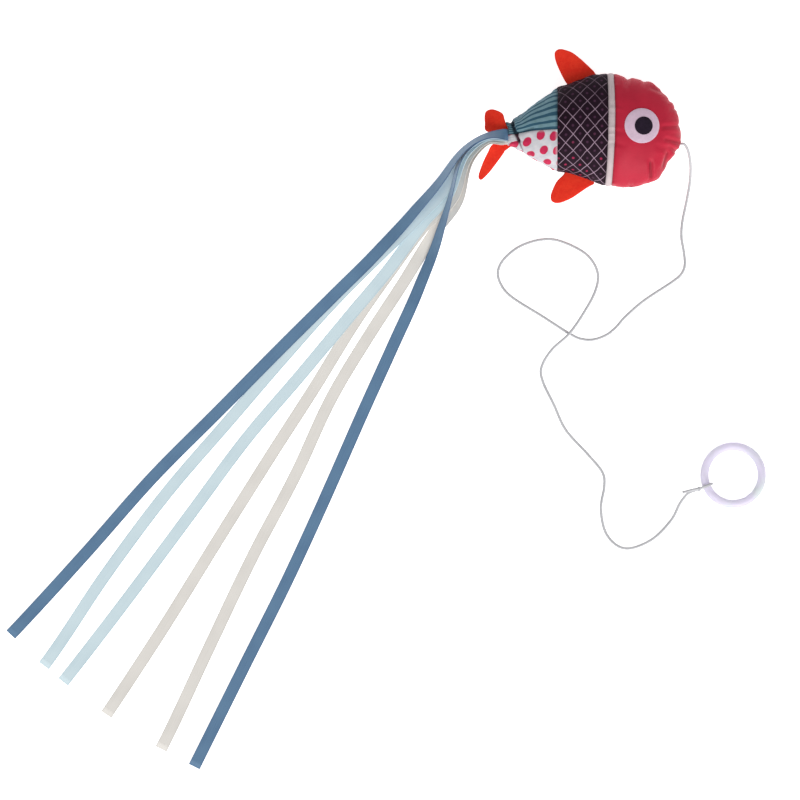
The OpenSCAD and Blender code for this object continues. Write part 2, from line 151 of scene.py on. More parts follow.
def run_along(points: np.ndarray, axis: int) -> np.ndarray:
    """Gives how far each point has come along its column, axis 0, or its row, axis 1."""
    steps = np.linalg.norm(np.diff(points, axis=axis), axis=-1)
    return np.insert(np.cumsum(steps, axis=axis), 0, 0.0, axis=axis)


def ringed(right: np.ndarray, left: np.ndarray) -> np.ndarray:
    """Joins the rows of both sides into rings, over the right side and back by the left."""
    return np.concatenate([right, left[:, ::-1][:, 1:]], axis=1)


def light(value: int) -> float:
    """Gives the light that a screen's value from 0 to 255 stands for."""
    v = value / 255
    return v / 12.92 if v <= 0.04045 else ((v + 0.055) / 1.055) ** 2.4


def paint(red: int, green: int, blue: int) -> tuple[float, float, float, float]:
    """Gives the shader's opaque colour for one that a screen shows."""
    return (light(red), light(green), light(blue), 1.0)


# --- Shader nodes ---


def maths(operation: str, turned: bool = False) -> "Callable[..., Wire]":
    """Makes a method that works something out in a Math node.

    Args:
        operation: what the node works out.
        turned: whether the wire comes last, as in 1 - wire.

    Returns:
        The method.
    """
    def method(wire: "Wire", *others: "Wire | float") -> "Wire":
        """Adds the node."""
        values = (*others, wire) if turned else (wire, *others)
        return wire.graph.wire("ShaderNodeMath", {"operation": operation},
                               dict(enumerate(values)))

    return method


class Wire:
    """A shader socket whose arithmetic adds Math nodes."""

    __add__, __radd__ = maths("ADD"), maths("ADD", turned=True)
    __sub__, __rsub__ = maths("SUBTRACT"), maths("SUBTRACT", turned=True)
    __mul__, __rmul__ = maths("MULTIPLY"), maths("MULTIPLY", turned=True)
    __truediv__, __rtruediv__ = maths("DIVIDE"), maths("DIVIDE", turned=True)
    sine, size, floor = maths("SINE"), maths("ABSOLUTE"), maths("FLOOR")
    part, root, least = maths("FRACT"), maths("SQRT"), maths("MINIMUM")

    def __init__(self, graph: "Graph", socket: bpy.types.NodeSocket) -> None:
        """Keeps the socket and the graph it belongs to."""
        self.graph, self.socket = graph, socket

    def rise(self, low: float, high: float) -> "Wire":
        """Goes smoothly from 0 at low to 1 at high, which may be below low."""
        return self.graph.wire("ShaderNodeMapRange", {"interpolation_type": "SMOOTHSTEP"},
                               {"Value": self, "From Min": low, "From Max": high})


def weave(x: Wire, y: Wire, pitch: float) -> Wire:
    """Gives the height, from 0 to 1, of threads that go over and under each other."""
    turn = math.pi / pitch
    return (x * turn).sine() * (y * turn).sine() * 0.5 + 0.5


class Graph:
    """The nodes of one material."""

    def __init__(self, name: str) -> None:
        """Makes an empty material.

        Args:
            name: the material's name.
        """
        material = bpy.data.materials.new(name)
        material.use_nodes = True
        self.tree = material.node_tree
        self.tree.nodes.clear()

    def node(self, kind: str, settings: Values | None = None,
             values: Values | None = None) -> bpy.types.Node:
        """Adds one node.

        Args:
            kind: the node's type.
            settings: its properties, which are set before its sockets.
            values: wires, numbers or colours, by the socket's name or number.

        Returns:
            The node.
        """
        made = self.tree.nodes.new(kind)
        for name, value in (settings or {}).items():
            setattr(made, name, value)
        for key, value in (values or {}).items():
            socket = made.inputs[key]
            if isinstance(value, Wire):
                self.tree.links.new(value.socket, socket)
            else:
                socket.default_value = paint(*value) if isinstance(value, tuple) else value
        return made

    def wire(self, kind: str, settings: Values | None = None, values: Values | None = None,
             out: str | int = 0) -> Wire:
        """Adds one node and gives the wire of one of its outputs, by name or number."""
        return Wire(self, self.node(kind, settings, values).outputs[out])

    def mix(self, share: Wire | float, a: Wire | Colour, b: Wire | Colour) -> Wire:
        """Mixes two colours: a share of 0 gives the first, and 1 the second."""
        return self.wire("ShaderNodeMix", {"data_type": "RGBA"}, {0: share, 6: a, 7: b}, 2)

    def object_place(self) -> Wire:
        """Gives the place in the object's own coordinates, in metres."""
        return self.wire("ShaderNodeTexCoord", out="Object")

    def cloth_place(self) -> Wire:
        """Gives the place on the cloth, in millimetres."""
        return self.wire("ShaderNodeUVMap", {"uv_map": CLOTH_MAP})

    def mark(self, name: str) -> Wire:
        """Gives the number that the mesh's points keep under a name."""
        return self.wire("ShaderNodeAttribute", {"attribute_name": name}, out="Fac")

    def split(self, vector: Wire) -> list[Wire]:
        """Splits a vector into its three numbers."""
        made = self.node("ShaderNodeSeparateXYZ", values={0: vector})
        return [Wire(self, out) for out in made.outputs]

    def join(self, x: Wire | float, y: Wire | float, z: Wire | float = 0.0) -> Wire:
        """Joins three numbers into a vector."""
        return self.wire("ShaderNodeCombineXYZ", values={0: x, 1: y, 2: z})

    def cloud(self, place: Wire, scale: float, detail: float = 2.0) -> Wire:
        """Gives soft random values round a half, with scale spots for each unit of the place."""
        return self.wire("ShaderNodeTexNoise",
                         values={"Vector": place, "Scale": scale, "Detail": detail})

    def chance(self, place: Wire) -> Wire:
        """Gives one random value from 0 to 1 for each place."""
        return self.wire("ShaderNodeTexWhiteNoise", {"noise_dimensions": "2D"},
                         {"Vector": place})

    def bump(self, height: Wire, depth: float, strength: float) -> Wire:
        """Gives a bumpy normal, where a height of 1 is so deep in metres."""
        return self.wire("ShaderNodeBump",
                         values={"Height": height, "Distance": depth, "Strength": strength})

    def cloth(self, patches: float, pitch: float = 0.34, reach: float = 1.6
              ) -> tuple[Wire, ...]:
        """Gives what every sewn cloth is built from, in millimetres.

        Args:
            patches: how many soft blotches it has for each millimetre.
            pitch: the distance between its threads.
            reach: how far from a seam the painted seam shade reaches.

        Returns:
            The place on it, its X and Y, the threads' height, the blotches and the mask of painted shade
            along the seams.
        """
        place = self.cloth_place()
        x, y, _ = self.split(place)
        return (place, x, y, weave(x, y, pitch), self.cloud(place, patches, 3.0),
                self.mark(SEAM_MARK).rise(reach, 0.0))

    def surface(self, values: Values) -> None:
        """Ends the material in a shader with these values or wires in its sockets."""
        shader = self.wire("ShaderNodeBsdfPrincipled", values=values)
        self.node("ShaderNodeOutputMaterial", values={"Surface": shader})


# --- Finishes ---


@dataclass(frozen=True)
class Finish:
    """A finish that one material gives, and the record's slot that it stands for."""

    name: str
    slot: str

    def material(self) -> bpy.types.Material:
        """Gives the finish's material, which is made once."""
        if self.name not in bpy.data.materials:
            self.build(Graph(self.name))
        return bpy.data.materials[self.name]

    def build(self, graph: Graph) -> None:
        """Builds the material in an empty graph."""
        raise NotImplementedError


@dataclass(frozen=True)
class Satin(Finish):
    """Plain woven cloth with a soft sheen, with painted shade where it goes into a seam and in its folds."""

    colour: Colour
    shade: Colour
    deep: Colour
    sheen: float = 0.02
    roughness: float = 0.48
    thread: float = 0.32

    def build(self, graph: Graph) -> None:
        """Builds the cloth from threads, soft blotches, and painted shade along the seams and in the folds.

        Args:
            graph: the empty material.
        """
        _, x, y, threads, blotch, seam = graph.cloth(0.09, self.thread)
        slub = graph.cloud(graph.join(x * 0.25, y * 3.2), 1.0)
        # painted shade: the seam term darkens the cloth where it turns into a seam
        darkening = (blotch - 0.5) * 0.5 + (slub - 0.5) * 0.22 + seam * 0.4 + (0.5 - threads) * 0.12
        cloth = graph.mix(darkening.rise(-0.35, 0.75), self.colour, self.shade)
        graph.surface({
            # painted shade: the deep colour is laid into the creases
            "Base Color": graph.mix(graph.mark(FOLD_MARK).rise(0.1, 1.5), cloth, self.deep),
            "Roughness": self.roughness + (blotch - 0.5) * 0.2,
            "Specular IOR Level": 0.18,
            "Sheen Weight": self.sheen,
            "Sheen Roughness": 0.35,
            "Normal": graph.bump(threads + slub * 0.6, 0.00004, 0.7),
        })


@dataclass(frozen=True)
class Tape(Finish):
    """Ribbed tape, with painted shade along its seams."""

    colour: Colour
    shade: Colour
    rib: float = 0.7

    def build(self, graph: Graph) -> None:
        """Builds the tape from ribs across it, a faint weave and painted shade along its seams.

        Args:
            graph: the empty material.
        """
        _, _, y, threads, blotch, seam = graph.cloth(0.35, 0.35, 0.6)
        ribs = (y * (CIRCLE / self.rib)).sine() * 0.5 + 0.5
        # painted shade: the seam term darkens the tape near its seams
        darkening = (1.0 - ribs) * 0.22 + (blotch - 0.5) * 0.5 + seam * 0.4
        graph.surface({
            "Base Color": graph.mix(darkening.rise(-0.1, 1.0), self.colour, self.shade),
            "Roughness": 0.68 + (blotch - 0.5) * 0.2,
            "Sheen Weight": 0.15,
            "Normal": graph.bump(ribs + threads * 0.4, 0.00009, 0.8),
        })


@dataclass(frozen=True)
class LatticePrint(Finish):
    """Dark cloth printed with a lattice of thin lines and a spot in each diamond, with painted shade towards
    its back and along its seams.
    """

    ground: Colour
    ground_shade: Colour
    line: Colour
    spot: Colour
    pale_spot: Colour
    diamond: tuple[float, float] = (6.8, 8.2)
    centre: tuple[float, float] = (2.2, -3.1)
    line_width: float = 0.26
    spot_radius: float = 0.66
    wander: float = 0.9

    def build(self, graph: Graph) -> None:
        """Builds the print on the cloth's own map, so that it bends with the cloth.

        Args:
            graph: the empty material.
        """
        place, x, y, threads, blotch, seam = graph.cloth(0.12)
        width, height = self.diamond
        drift = (graph.cloud(place, 0.16, 1.0) - 0.5) * self.wander
        across = (x - self.centre[0] + drift) / width
        up = (y - self.centre[1] - drift) / height
        first, second = across + up, across - up
        half = self.line_width * math.hypot(width, height) / (width * height) / 2
        ink = graph.cloud(place, 2.3) + (graph.cloud(place, 0.09, 1.0) - 0.5) * 1.5

        def stripe(value: Wire) -> Wire:
            """Draws one family of parallel lines."""
            return ((value + 0.5).part() - 0.5).size().rise(half * 1.9, half * 0.5)

        one, other = stripe(first), stripe(second)
        # painted shade: the lines are dimmed towards the back (+Y), the side away from the lamp
        lines = (one + other - one * other) * (
            ink * 0.9 + 0.45 - y.rise(-2.0, 20.0) * 0.4).rise(0.0, 1.0)
        a, b = first.part() - 0.5, second.part() - 0.5
        side, rise = (a + b) * (width / 2), (a - b) * (height / 2)
        off = (side * side + rise * rise).root()
        spots = off.rise(self.spot_radius * 1.25, self.spot_radius * 0.6)
        luck = graph.chance(graph.join(first.floor(), second.floor()))
        ground = graph.mix((blotch - 0.5) * 1.6 + 0.5, self.ground, self.ground_shade)
        rose = (luck - (x + y) * 0.02).rise(0.76, 1.0)
        spot = graph.mix(rose, self.pale_spot, self.spot)
        printed = graph.mix(spots * (rose * 0.35 + 0.4), ground, spot)
        printed = graph.mix(lines * 0.85, printed, self.line)
        graph.surface({
            # painted shade: the print is darkened near its seams
            "Base Color": graph.mix(seam * 0.6, printed, self.ground_shade),
            "Roughness": 0.75 + (blotch - 0.5) * 0.2,
            "Specular IOR Level": 0.15,
            "Normal": graph.bump(threads, 0.00004, 0.7),
        })


@dataclass(frozen=True)
class StripedPrint(Finish):
    """Cloth with stripes that run to the tail and draw together there, with painted shade along its seams
    and in its tucks.
    """

    pale: Colour
    tint: Colour
    dark: Colour
    deep: Colour
    period: float = 0.121
    phase: float = 0.35

    def build(self, graph: Graph) -> None:
        """Builds the stripes by the share of the way round the panel.

        Args:
            graph: the empty material.
        """
        _, x, y, threads, blotch, seam = graph.cloth(0.3)
        turn = graph.mark(TURN_MARK)
        sway = (graph.cloud(graph.join(x * 0.05, y * 0.3), 1.0) - 0.5) * 0.45
        beat = (turn / self.period + self.phase + sway).part() - 0.5
        width = graph.cloud(graph.join(x * 0.06, turn * 9.0), 1.0) * 0.3 + 0.07
        dark = (beat.size() - width).rise(0.07, -0.05)
        pale = graph.mix((blotch - 0.5) * 2.2 + 0.5, self.pale, self.tint)
        printed = graph.mix(dark * 0.9, pale, self.dark)
        fold = graph.mark(FOLD_MARK).rise(0.1, 0.8)
        graph.surface({
            # painted shade: the deep colour is laid along the seams and into the tucks
            "Base Color": graph.mix((seam * 0.55 + fold).least(1.0), printed, self.deep),
            "Roughness": 0.7 + (blotch - 0.5) * 0.2,
            "Specular IOR Level": 0.2,
            "Normal": graph.bump(threads - dark * 0.6, 0.00005, 0.8),
        })


@dataclass(frozen=True)
class DottedPrint(Finish):
    """Pale cloth with rows of round dots, each row half a step on from the last, with painted shade along
    its seams and in its tucks.
    """

    ground: Colour
    ground_shade: Colour
    dot: Colour
    dot_shade: Colour
    deep: Colour
    step: tuple[float, float] = (6.6, 7.9)
    first: tuple[float, float] = (-13.9, -2.9)
    lean: tuple[float, float] = (1.7, 0.12)
    radius: tuple[float, float] = (2.1, 2.4)
    turn: float = 2.0
    turn_start: float = 3.5
    sway: float = 1.3

    def build(self, graph: Graph) -> None:
        """Builds the dots on the cloth's own map.

        Args:
            graph: the empty material.
        """
        place, x, y, threads, blotch, seam = graph.cloth(0.3)
        drift = (graph.cloud(place, 0.5) - 0.5) * 0.5
        up = (y - self.first[1] - (x - self.first[0]) * self.lean[1] - drift) / self.step[1]
        row = (up + 0.5).floor()
        across = (x - self.first[0] + row * self.lean[0] + drift) / self.step[0]
        column = (across + 0.5).floor()
        side = (across - column) * (self.step[0] / self.radius[0])
        lift = (column * self.turn + self.turn_start).sine() * (self.sway / self.step[1])
        rise = (up - row - lift) * (self.step[1] / self.radius[1])
        dots = (side * side + rise * rise).root().rise(1.06, 0.94)
        ground = graph.mix((blotch - 0.5) * 2.0 + 0.5, self.ground, self.ground_shade)
        dot = graph.mix((blotch - 0.5) * 2.4 + 0.5, self.dot, self.dot_shade)
        # painted shade: the cloth, dots included, is darkened near its seams
        printed = graph.mix(seam * 0.5, graph.mix(dots, ground, dot), self.ground_shade)
        graph.surface({
            # painted shade: the deep colour is laid into the tucks
            "Base Color": graph.mix(graph.mark(FOLD_MARK).rise(0.1, 0.9), printed, self.deep),
            "Roughness": 0.7 + (blotch - 0.5) * 0.2,
            "Specular IOR Level": 0.2,
            "Normal": graph.bump(threads, 0.00004, 0.7),
        })


@dataclass(frozen=True)
class Felt(Finish):
    """Pressed felt: short fibres in every direction, and paler where it is worn."""

    colour: Colour
    shade: Colour
    fibre: float = 2600.0
    depth: float = 0.00012
    sheen: float = 0.04

    def build(self, graph: Graph) -> None:
        """Builds the felt from two sizes of fibre clouds and soft blotches.

        Args:
            graph: the empty material.
        """
        place = graph.object_place()
        fine = graph.cloud(place, self.fibre, 3.0)
        coarse = graph.cloud(place, self.fibre / 4, 3.0)
        blotch = graph.cloud(place, 110.0)
        darkening = (fine - 0.5) * 0.5 + (coarse - 0.5) * 0.7 + (blotch - 0.5) * 0.9
        graph.surface({
            "Base Color": graph.mix(darkening.rise(-0.45, 0.6), self.colour, self.shade),
            "Roughness": 0.86 + (coarse - 0.5) * 0.2,
            "Specular IOR Level": 0.2,
            "Sheen Weight": self.sheen,
            "Sheen Roughness": 0.5,
            "Normal": graph.bump(fine + coarse, self.depth, 0.8),
        })


@dataclass(frozen=True)
class RibbonSatin(Finish):
    """Narrow satin ribbon with fine cross threads and a closer woven edge."""

    colour: Colour
    shade: Colour
    half_width: float = 3.0
    rib: float = 0.55

    def build(self, graph: Graph) -> None:
        """Builds the ribbon from its threads, its edges and long soft streaks.

        Args:
            graph: the empty material.
        """
        place = graph.cloth_place()
        across, length, _ = graph.split(place)
        edge = across.size().rise(self.half_width - 0.55, self.half_width - 0.3)
        ribs = (length * (CIRCLE / self.rib)).sine() * 0.5 + 0.5
        streak = graph.cloud(graph.join(across * 2.2, length * 0.05), 1.0, 3.0)
        blotch = graph.cloud(place, 0.07)
        darkening = (streak - 0.5) * 0.5 + (blotch - 0.5) * 0.6 + edge * 0.4 + (0.5 - ribs) * 0.08
        graph.surface({
            "Base Color": graph.mix(darkening.rise(-0.3, 0.7), self.colour, self.shade),
            "Roughness": 0.46 + (streak - 0.5) * 0.25 + edge * 0.15,
            "Sheen Weight": 0.15,
            "Normal": graph.bump(ribs * 0.5 + edge, 0.00005, 0.7),
        })


@dataclass(frozen=True)
class Elastic(Finish):
    """Braided elastic cord, greyer between its strands, with painted shade along its sides."""

    colour: Colour
    shade: Colour
    girth: float = 3.6
    flank_shade: float = 0.15

    def build(self, graph: Graph) -> None:
        """Builds the braid's colour from the cord's own map, soft stains and painted shade along its sides.

        Args:
            graph: the empty material.
        """
        place = graph.cloth_place()
        across, length, _ = graph.split(place)
        strands = weave(across + length, across - length, 0.47)
        stain = graph.cloud(place, 0.12, 3.0)
        # painted shade: both sides of the cord are darkened
        flank_shade = (across * (CIRCLE / self.girth) + RIGHT_ANGLE).sine().size()
        darkening = strands * 0.3 + (stain - 0.5) * 0.7 + flank_shade.rise(0.3, 1.0) * self.flank_shade
        graph.surface({
            "Base Color": graph.mix(darkening.rise(0.0, 0.9), self.colour, self.shade),
            "Roughness": 0.75 + (stain - 0.5) * 0.2,
            "Specular IOR Level": 0.05,
            "Normal": graph.bump(strands, 0.00005, 0.6),
        })


@dataclass(frozen=True)
class Plastic(Finish):
    """Moulded clear plastic with a milky tint that changes along it."""

    colour: Colour
    tint: Colour

    def build(self, graph: Graph) -> None:
        """Builds the plastic from soft flow marks and a fine moulded grain.

        Args:
            graph: the empty material.
        """
        place = graph.object_place()
        flow = graph.cloud(place, 70.0, 3.0)
        grain = graph.cloud(place, 1500.0)
        graph.surface({
            "Base Color": graph.mix(flow.rise(0.5, 0.72), self.colour, self.tint),
            "Roughness": 0.34 + flow * 0.16,
            "IOR": 1.49,
            "Transmission Weight": 0.4,
            "Specular IOR Level": 0.15,
            "Normal": graph.bump(flow * 3.0 + grain * 0.4, 0.00006, 0.5),
        })


@dataclass(frozen=True)
class Filling(Finish):
    """Loose white fibre."""

    colour: Colour
    shade: Colour

    def build(self, graph: Graph) -> None:
        """Builds the fibre from clouds of fine strands.

        Args:
            graph: the empty material.
        """
        strands = graph.cloud(graph.object_place(), 900.0, 5.0)
        graph.surface({
            "Base Color": graph.mix(strands, self.colour, self.shade),
            "Roughness": 0.9 + (strands - 0.5) * 0.1,
            "Normal": graph.bump(strands, 0.0006, 0.9),
        })


@dataclass(frozen=True)
class PaleFloor(Finish):
    """A plain white table top that is lit from below like a photographer's."""

    colour: Colour

    def build(self, graph: Graph) -> None:
        """Builds the table top with a trace of unevenness.

        Args:
            graph: the empty material.
        """
        haze = graph.cloud(graph.object_place(), 3.0)
        graph.surface({
            "Base Color": self.colour,
            "Roughness": 0.7 + (haze - 0.5) * 0.1,
            "Specular IOR Level": 0.1,
            "Emission Color": self.colour,
            "Emission Strength": 0.75,
        })


class Finishes:
    """Every finish of the toy."""

    # The head's third colour is the painted shade in its creases.
    HEAD = Satin("head_satin", "head_cloth", (194, 34, 60), (146, 17, 41), (110, 4, 24))
    BAND = Tape("band_tape", "band_cloth", (200, 184, 186), (140, 126, 130))
    LATTICE = LatticePrint("lattice_print", "print_cloth", (34, 10, 29), (22, 6, 18),
                           (176, 148, 168), (178, 42, 86), (100, 60, 90))
    # The stripes' last colour is the painted shade along their seams and in their tucks.
    STRIPES = StripedPrint("striped_print", "striped_cloth", (118, 152, 168), (104, 138, 144),
                           (28, 74, 96), (12, 36, 50))
    # The dots' last colour is the painted shade in their tucks.
    DOTS = DottedPrint("dotted_print", "dotted_cloth", (207, 203, 207), (179, 180, 186),
                       (198, 36, 80), (174, 30, 68), (60, 30, 44))
    EYE_WHITE = Felt("eye_white_felt", "eye_white_cloth", (217, 191, 209), (194, 168, 188),
                     depth=0.00005)
    PUPIL = Felt("pupil_felt", "pupil_cloth", (36, 22, 42), (18, 10, 22), depth=0.00005,
                 sheen=0.0)
    FINS = Felt("fin_felt", "felt", (238, 58, 34), (222, 34, 22))
    BLUE = RibbonSatin("blue_ribbon_satin", "blue_ribbon", (92, 128, 160), (62, 96, 134))
    PALE = RibbonSatin("pale_ribbon_satin", "pale_ribbon", (208, 226, 232), (184, 206, 216))
    CREAM = RibbonSatin("cream_ribbon_satin", "cream_ribbon", (228, 224, 218), (206, 202, 196))
    STRING = Elastic("elastic_braid", "elastic_cord", (200, 200, 203), (166, 166, 170))
    RING = Plastic("milky_plastic", "ring_plastic", (236, 230, 247), (228, 236, 236))
    FILLING = Filling("fibre_filling", "filling", (236, 236, 232), (206, 206, 202))
    FLOOR = PaleFloor("pale_floor", "", (246, 246, 246))


# --- Meshes ---


class Grid:
    """A mesh of squares whose points are put in place row by row."""

    def __init__(self, rows: int, columns: int, marks: Iterable[str] = ()) -> None:
        """Makes the flat grid.

        Args:
            rows: the number of rows of points.
            columns: the number of points in a row.
            marks: the names of the numbers that its points will keep.
        """
        self.mesh = bmesh.new()
        self.map = self.mesh.loops.layers.uv.new(CLOTH_MAP)
        self.sharp = self.mesh.edges.layers.float.new("crease_edge")
        self.marks = {name: self.mesh.verts.layers.float.new(name) for name in marks}
        made = bmesh.ops.create_grid(self.mesh, x_segments=columns - 1, y_segments=rows - 1,
                                     size=1.0)["verts"]
        self.points = [made[i * columns:(i + 1) * columns] for i in range(rows)]

    def each(self) -> Iterator[tuple[bmesh.types.BMVert, int, int]]:
        """Goes through the points, each with its row and its column."""
        return ((vert, i, j) for i, row in enumerate(self.points) for j, vert in enumerate(row))

    def place(self, spots: Spots) -> None:
        """Moves each point to the place that spots gives for its row and column."""
        for vert, i, j in self.each():
            vert.co = Vector(spots(i, j))

    def mark(self, name: str, value: Callable[[int, int], float]) -> None:
        """Writes at each point the number that value gives for its row and column."""
        for vert, i, j in self.each():
            vert[self.marks[name]] = value(i, j)

    def lay_map(self, spots: Spots) -> None:
        """Writes the cloth's own map, where spots gives the place in millimetres."""
        number = {vert: (i, j) for vert, i, j in self.each()}
        for face in self.mesh.faces:
            for loop in face.loops:
                loop[self.map].uv = spots(*number[loop.vert])

    def close_rows(self) -> None:
        """Joins the last column to the first, so that each row is a ring."""
        pairs = {row[-1]: row[0] for row in self.points}
        bmesh.ops.weld_verts(self.mesh, targetmap=pairs)
        self.points = [row[:-1] for row in self.points]

    def gather(self, row: int, spot: Sequence[float]) -> None:
        """Merges a whole row into one point."""
        bmesh.ops.pointmerge(self.mesh, verts=self.points[row], merge_co=spot)

    def wrap(self, spots: Spots, cloth: Spots,
             ends: Sequence[tuple[int, Sequence[float]]] = ()) -> Mesh:
        """Makes a closed form whose rows are rings, with every face outwards.

        Args:
            spots: gives the place of a row and a column.
            cloth: gives its place on the cloth, in millimetres.
            ends: the rows that are gathered into one point, each with that point.

        Returns:
            The finished mesh.
        """
        self.place(spots)
        self.lay_map(cloth)
        self.close_rows()
        for row, spot in ends:
            self.gather(row, spot)
        open_edges = [edge for edge in self.mesh.edges if edge.is_boundary]
        bmesh.ops.holes_fill(self.mesh, edges=open_edges, sides=0)
        bmesh.ops.recalc_face_normals(self.mesh, faces=self.mesh.faces)
        return self.mesh


def stand(name: str, data: bpy.types.ID) -> bpy.types.Object:
    """Puts a new object in the scene.

    Args:
        name: the object's name.
        data: its mesh, camera or lamp.

    Returns:
        The object.
    """
    made = bpy.data.objects.new(name, data)
    bpy.context.scene.collection.objects.link(made)
    return made


def kept(name: str, mesh: Mesh) -> bpy.types.Mesh:
    """Keeps a mesh under a name, and uses up the one that it is made from.

    Args:
        name: the name.
        mesh: the mesh that is being built.

    Returns:
        The mesh that an object can have.
    """
    data = bpy.data.meshes.new(name)
    mesh.to_mesh(data)
    mesh.free()
    return data


@dataclass
class Piece:
    """One piece of the toy, which has the name of the node that it replaces."""

    name: str
    finish: Finish
    body: Body | None = Body.ROOT
    made: bpy.types.Object = field(init=False)

    def build(self, mesh: Mesh) -> "Piece":
        """Makes the object from a finished mesh, dresses it and ties it to its body.

        Args:
            mesh: the mesh, which is used up.

        Returns:
            The piece itself.
        """
        data = kept(self.name, mesh)
        data.polygons.foreach_set("use_smooth", [True] * len(data.polygons))
        data.materials.append(self.finish.material())
        self.made = stand(self.name, data)
        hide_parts(self.name)
        if self.body is not None:
            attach(self.made, self.body.value)
        log.info("%s: %d faces", self.name, len(data.polygons))
        return self

    def refine(self) -> None:
        """Smooths the piece by dividing each square once."""
        smooth = self.made.modifiers.new("smoothing", "SUBSURF")
        smooth.levels = smooth.render_levels = 1


class Line:
    """A line in space with frames that don't twist."""

    def __init__(self, points: Sequence[Sequence[float]]) -> None:
        """Works out the frames.

        Args:
            points: the line's points.
        """
        self.points = [Vector(p) for p in points]
        last = len(self.points) - 1
        self.ways = [(self.points[min(i + 1, last)] - self.points[max(i - 1, 0)]).normalized()
                     for i in range(last + 1)]
        side = self.ways[0].cross(Vector((0, 0, 1)))
        if side.length < 0.1:
            side = self.ways[0].cross(Vector((0, 1, 0)))
        self.sides = []
        for way in self.ways:
            side = (side - way * side.dot(way)).normalized()
            self.sides.append(side)
        self.travelled = [0.0]
        for a, b in zip(self.points, self.points[1:]):
            self.travelled.append(self.travelled[-1] + (b - a).length)

    @property
    def length(self) -> float:
        """The line's length."""
        return self.travelled[-1]

    def evenly(self, spacing: float) -> "Line":
        """Gives the same line with evenly spaced points.

        Args:
            spacing: about how far apart they are.

        Returns:
            The new line.
        """
        count = max(2, round(self.length / spacing))
        places = np.linspace(0, self.length, count + 1)
        columns = [np.interp(places, self.travelled, [p[k] for p in self.points])
                   for k in range(3)]
        return Line(list(zip(*columns)))


def tube(line: Line, radius: Callable[[float, float], float], sides: int) -> Mesh:
    """Makes a closed round tube along a line.

    Args:
        line: the tube's middle line.
        radius: gives the radius for an angle and a distance along the line.
        sides: the number of points round it.

    Returns:
        The mesh, with the cloth's map in millimetres.
    """
    def spot(i: int, j: int) -> Vector:
        """Places one point round the line.

        Args:
            i, j: the point's row and column.

        Returns:
            Its place.
        """
        angle = CIRCLE * j / sides
        side, way = line.sides[i], line.ways[i]
        out = side * math.cos(angle) + way.cross(side) * math.sin(angle)
        return line.points[i] + out * radius(angle, line.travelled[i])

    around = CIRCLE * radius(0.0, line.length / 2) / MM
    return Grid(len(line.points), sides + 1).wrap(
        spot, lambda i, j: (around * j / sides, line.travelled[i] / MM))


# --- The sewn body ---


@dataclass
class Station:
    """A cross-section of the fish."""

    x: float
    upper: float
    lower: float
    thick: float
    zone: Zone

    @property
    def middle(self) -> float:
        """The height half way between the two edges."""
        return (self.upper + self.lower) / 2


@dataclass
class Crease:
    """A fold pressed into the cloth, from one place to another, in millimetres."""

    x: float
    y: float
    end_x: float
    end_y: float
    depth: float
    width: float
    lip: float = 0.45

    def relief(self, x: float, y: float) -> float:
        """Gives how far the cloth stands out at a place.

        Args:
            x, y: the place, in millimetres.

        Returns:
            The height in millimetres, below 0 in the fold and above it beside it.
        """
        run, rise = self.end_x - self.x, self.end_y - self.y
        ahead, aside = x - self.x, y - self.y
        length = math.hypot(run, rise)
        t = (ahead * run + aside * rise) / (length * length)
        off = (ahead * rise - aside * run) / length / self.width
        over = max(0.0, -t, t - 1) * length / self.width
        lips = self.lip * math.exp(-((abs(off) - 2.0) ** 2) / 1.2)
        return self.depth * math.exp(-over * over) * (lips - math.exp(-off * off))


@dataclass
class Notch:
    """A place where the seam of the head is pulled in or stands out."""

    x: float
    y: float
    depth: float
    width: float = 1.4
    reach: float = 5.0


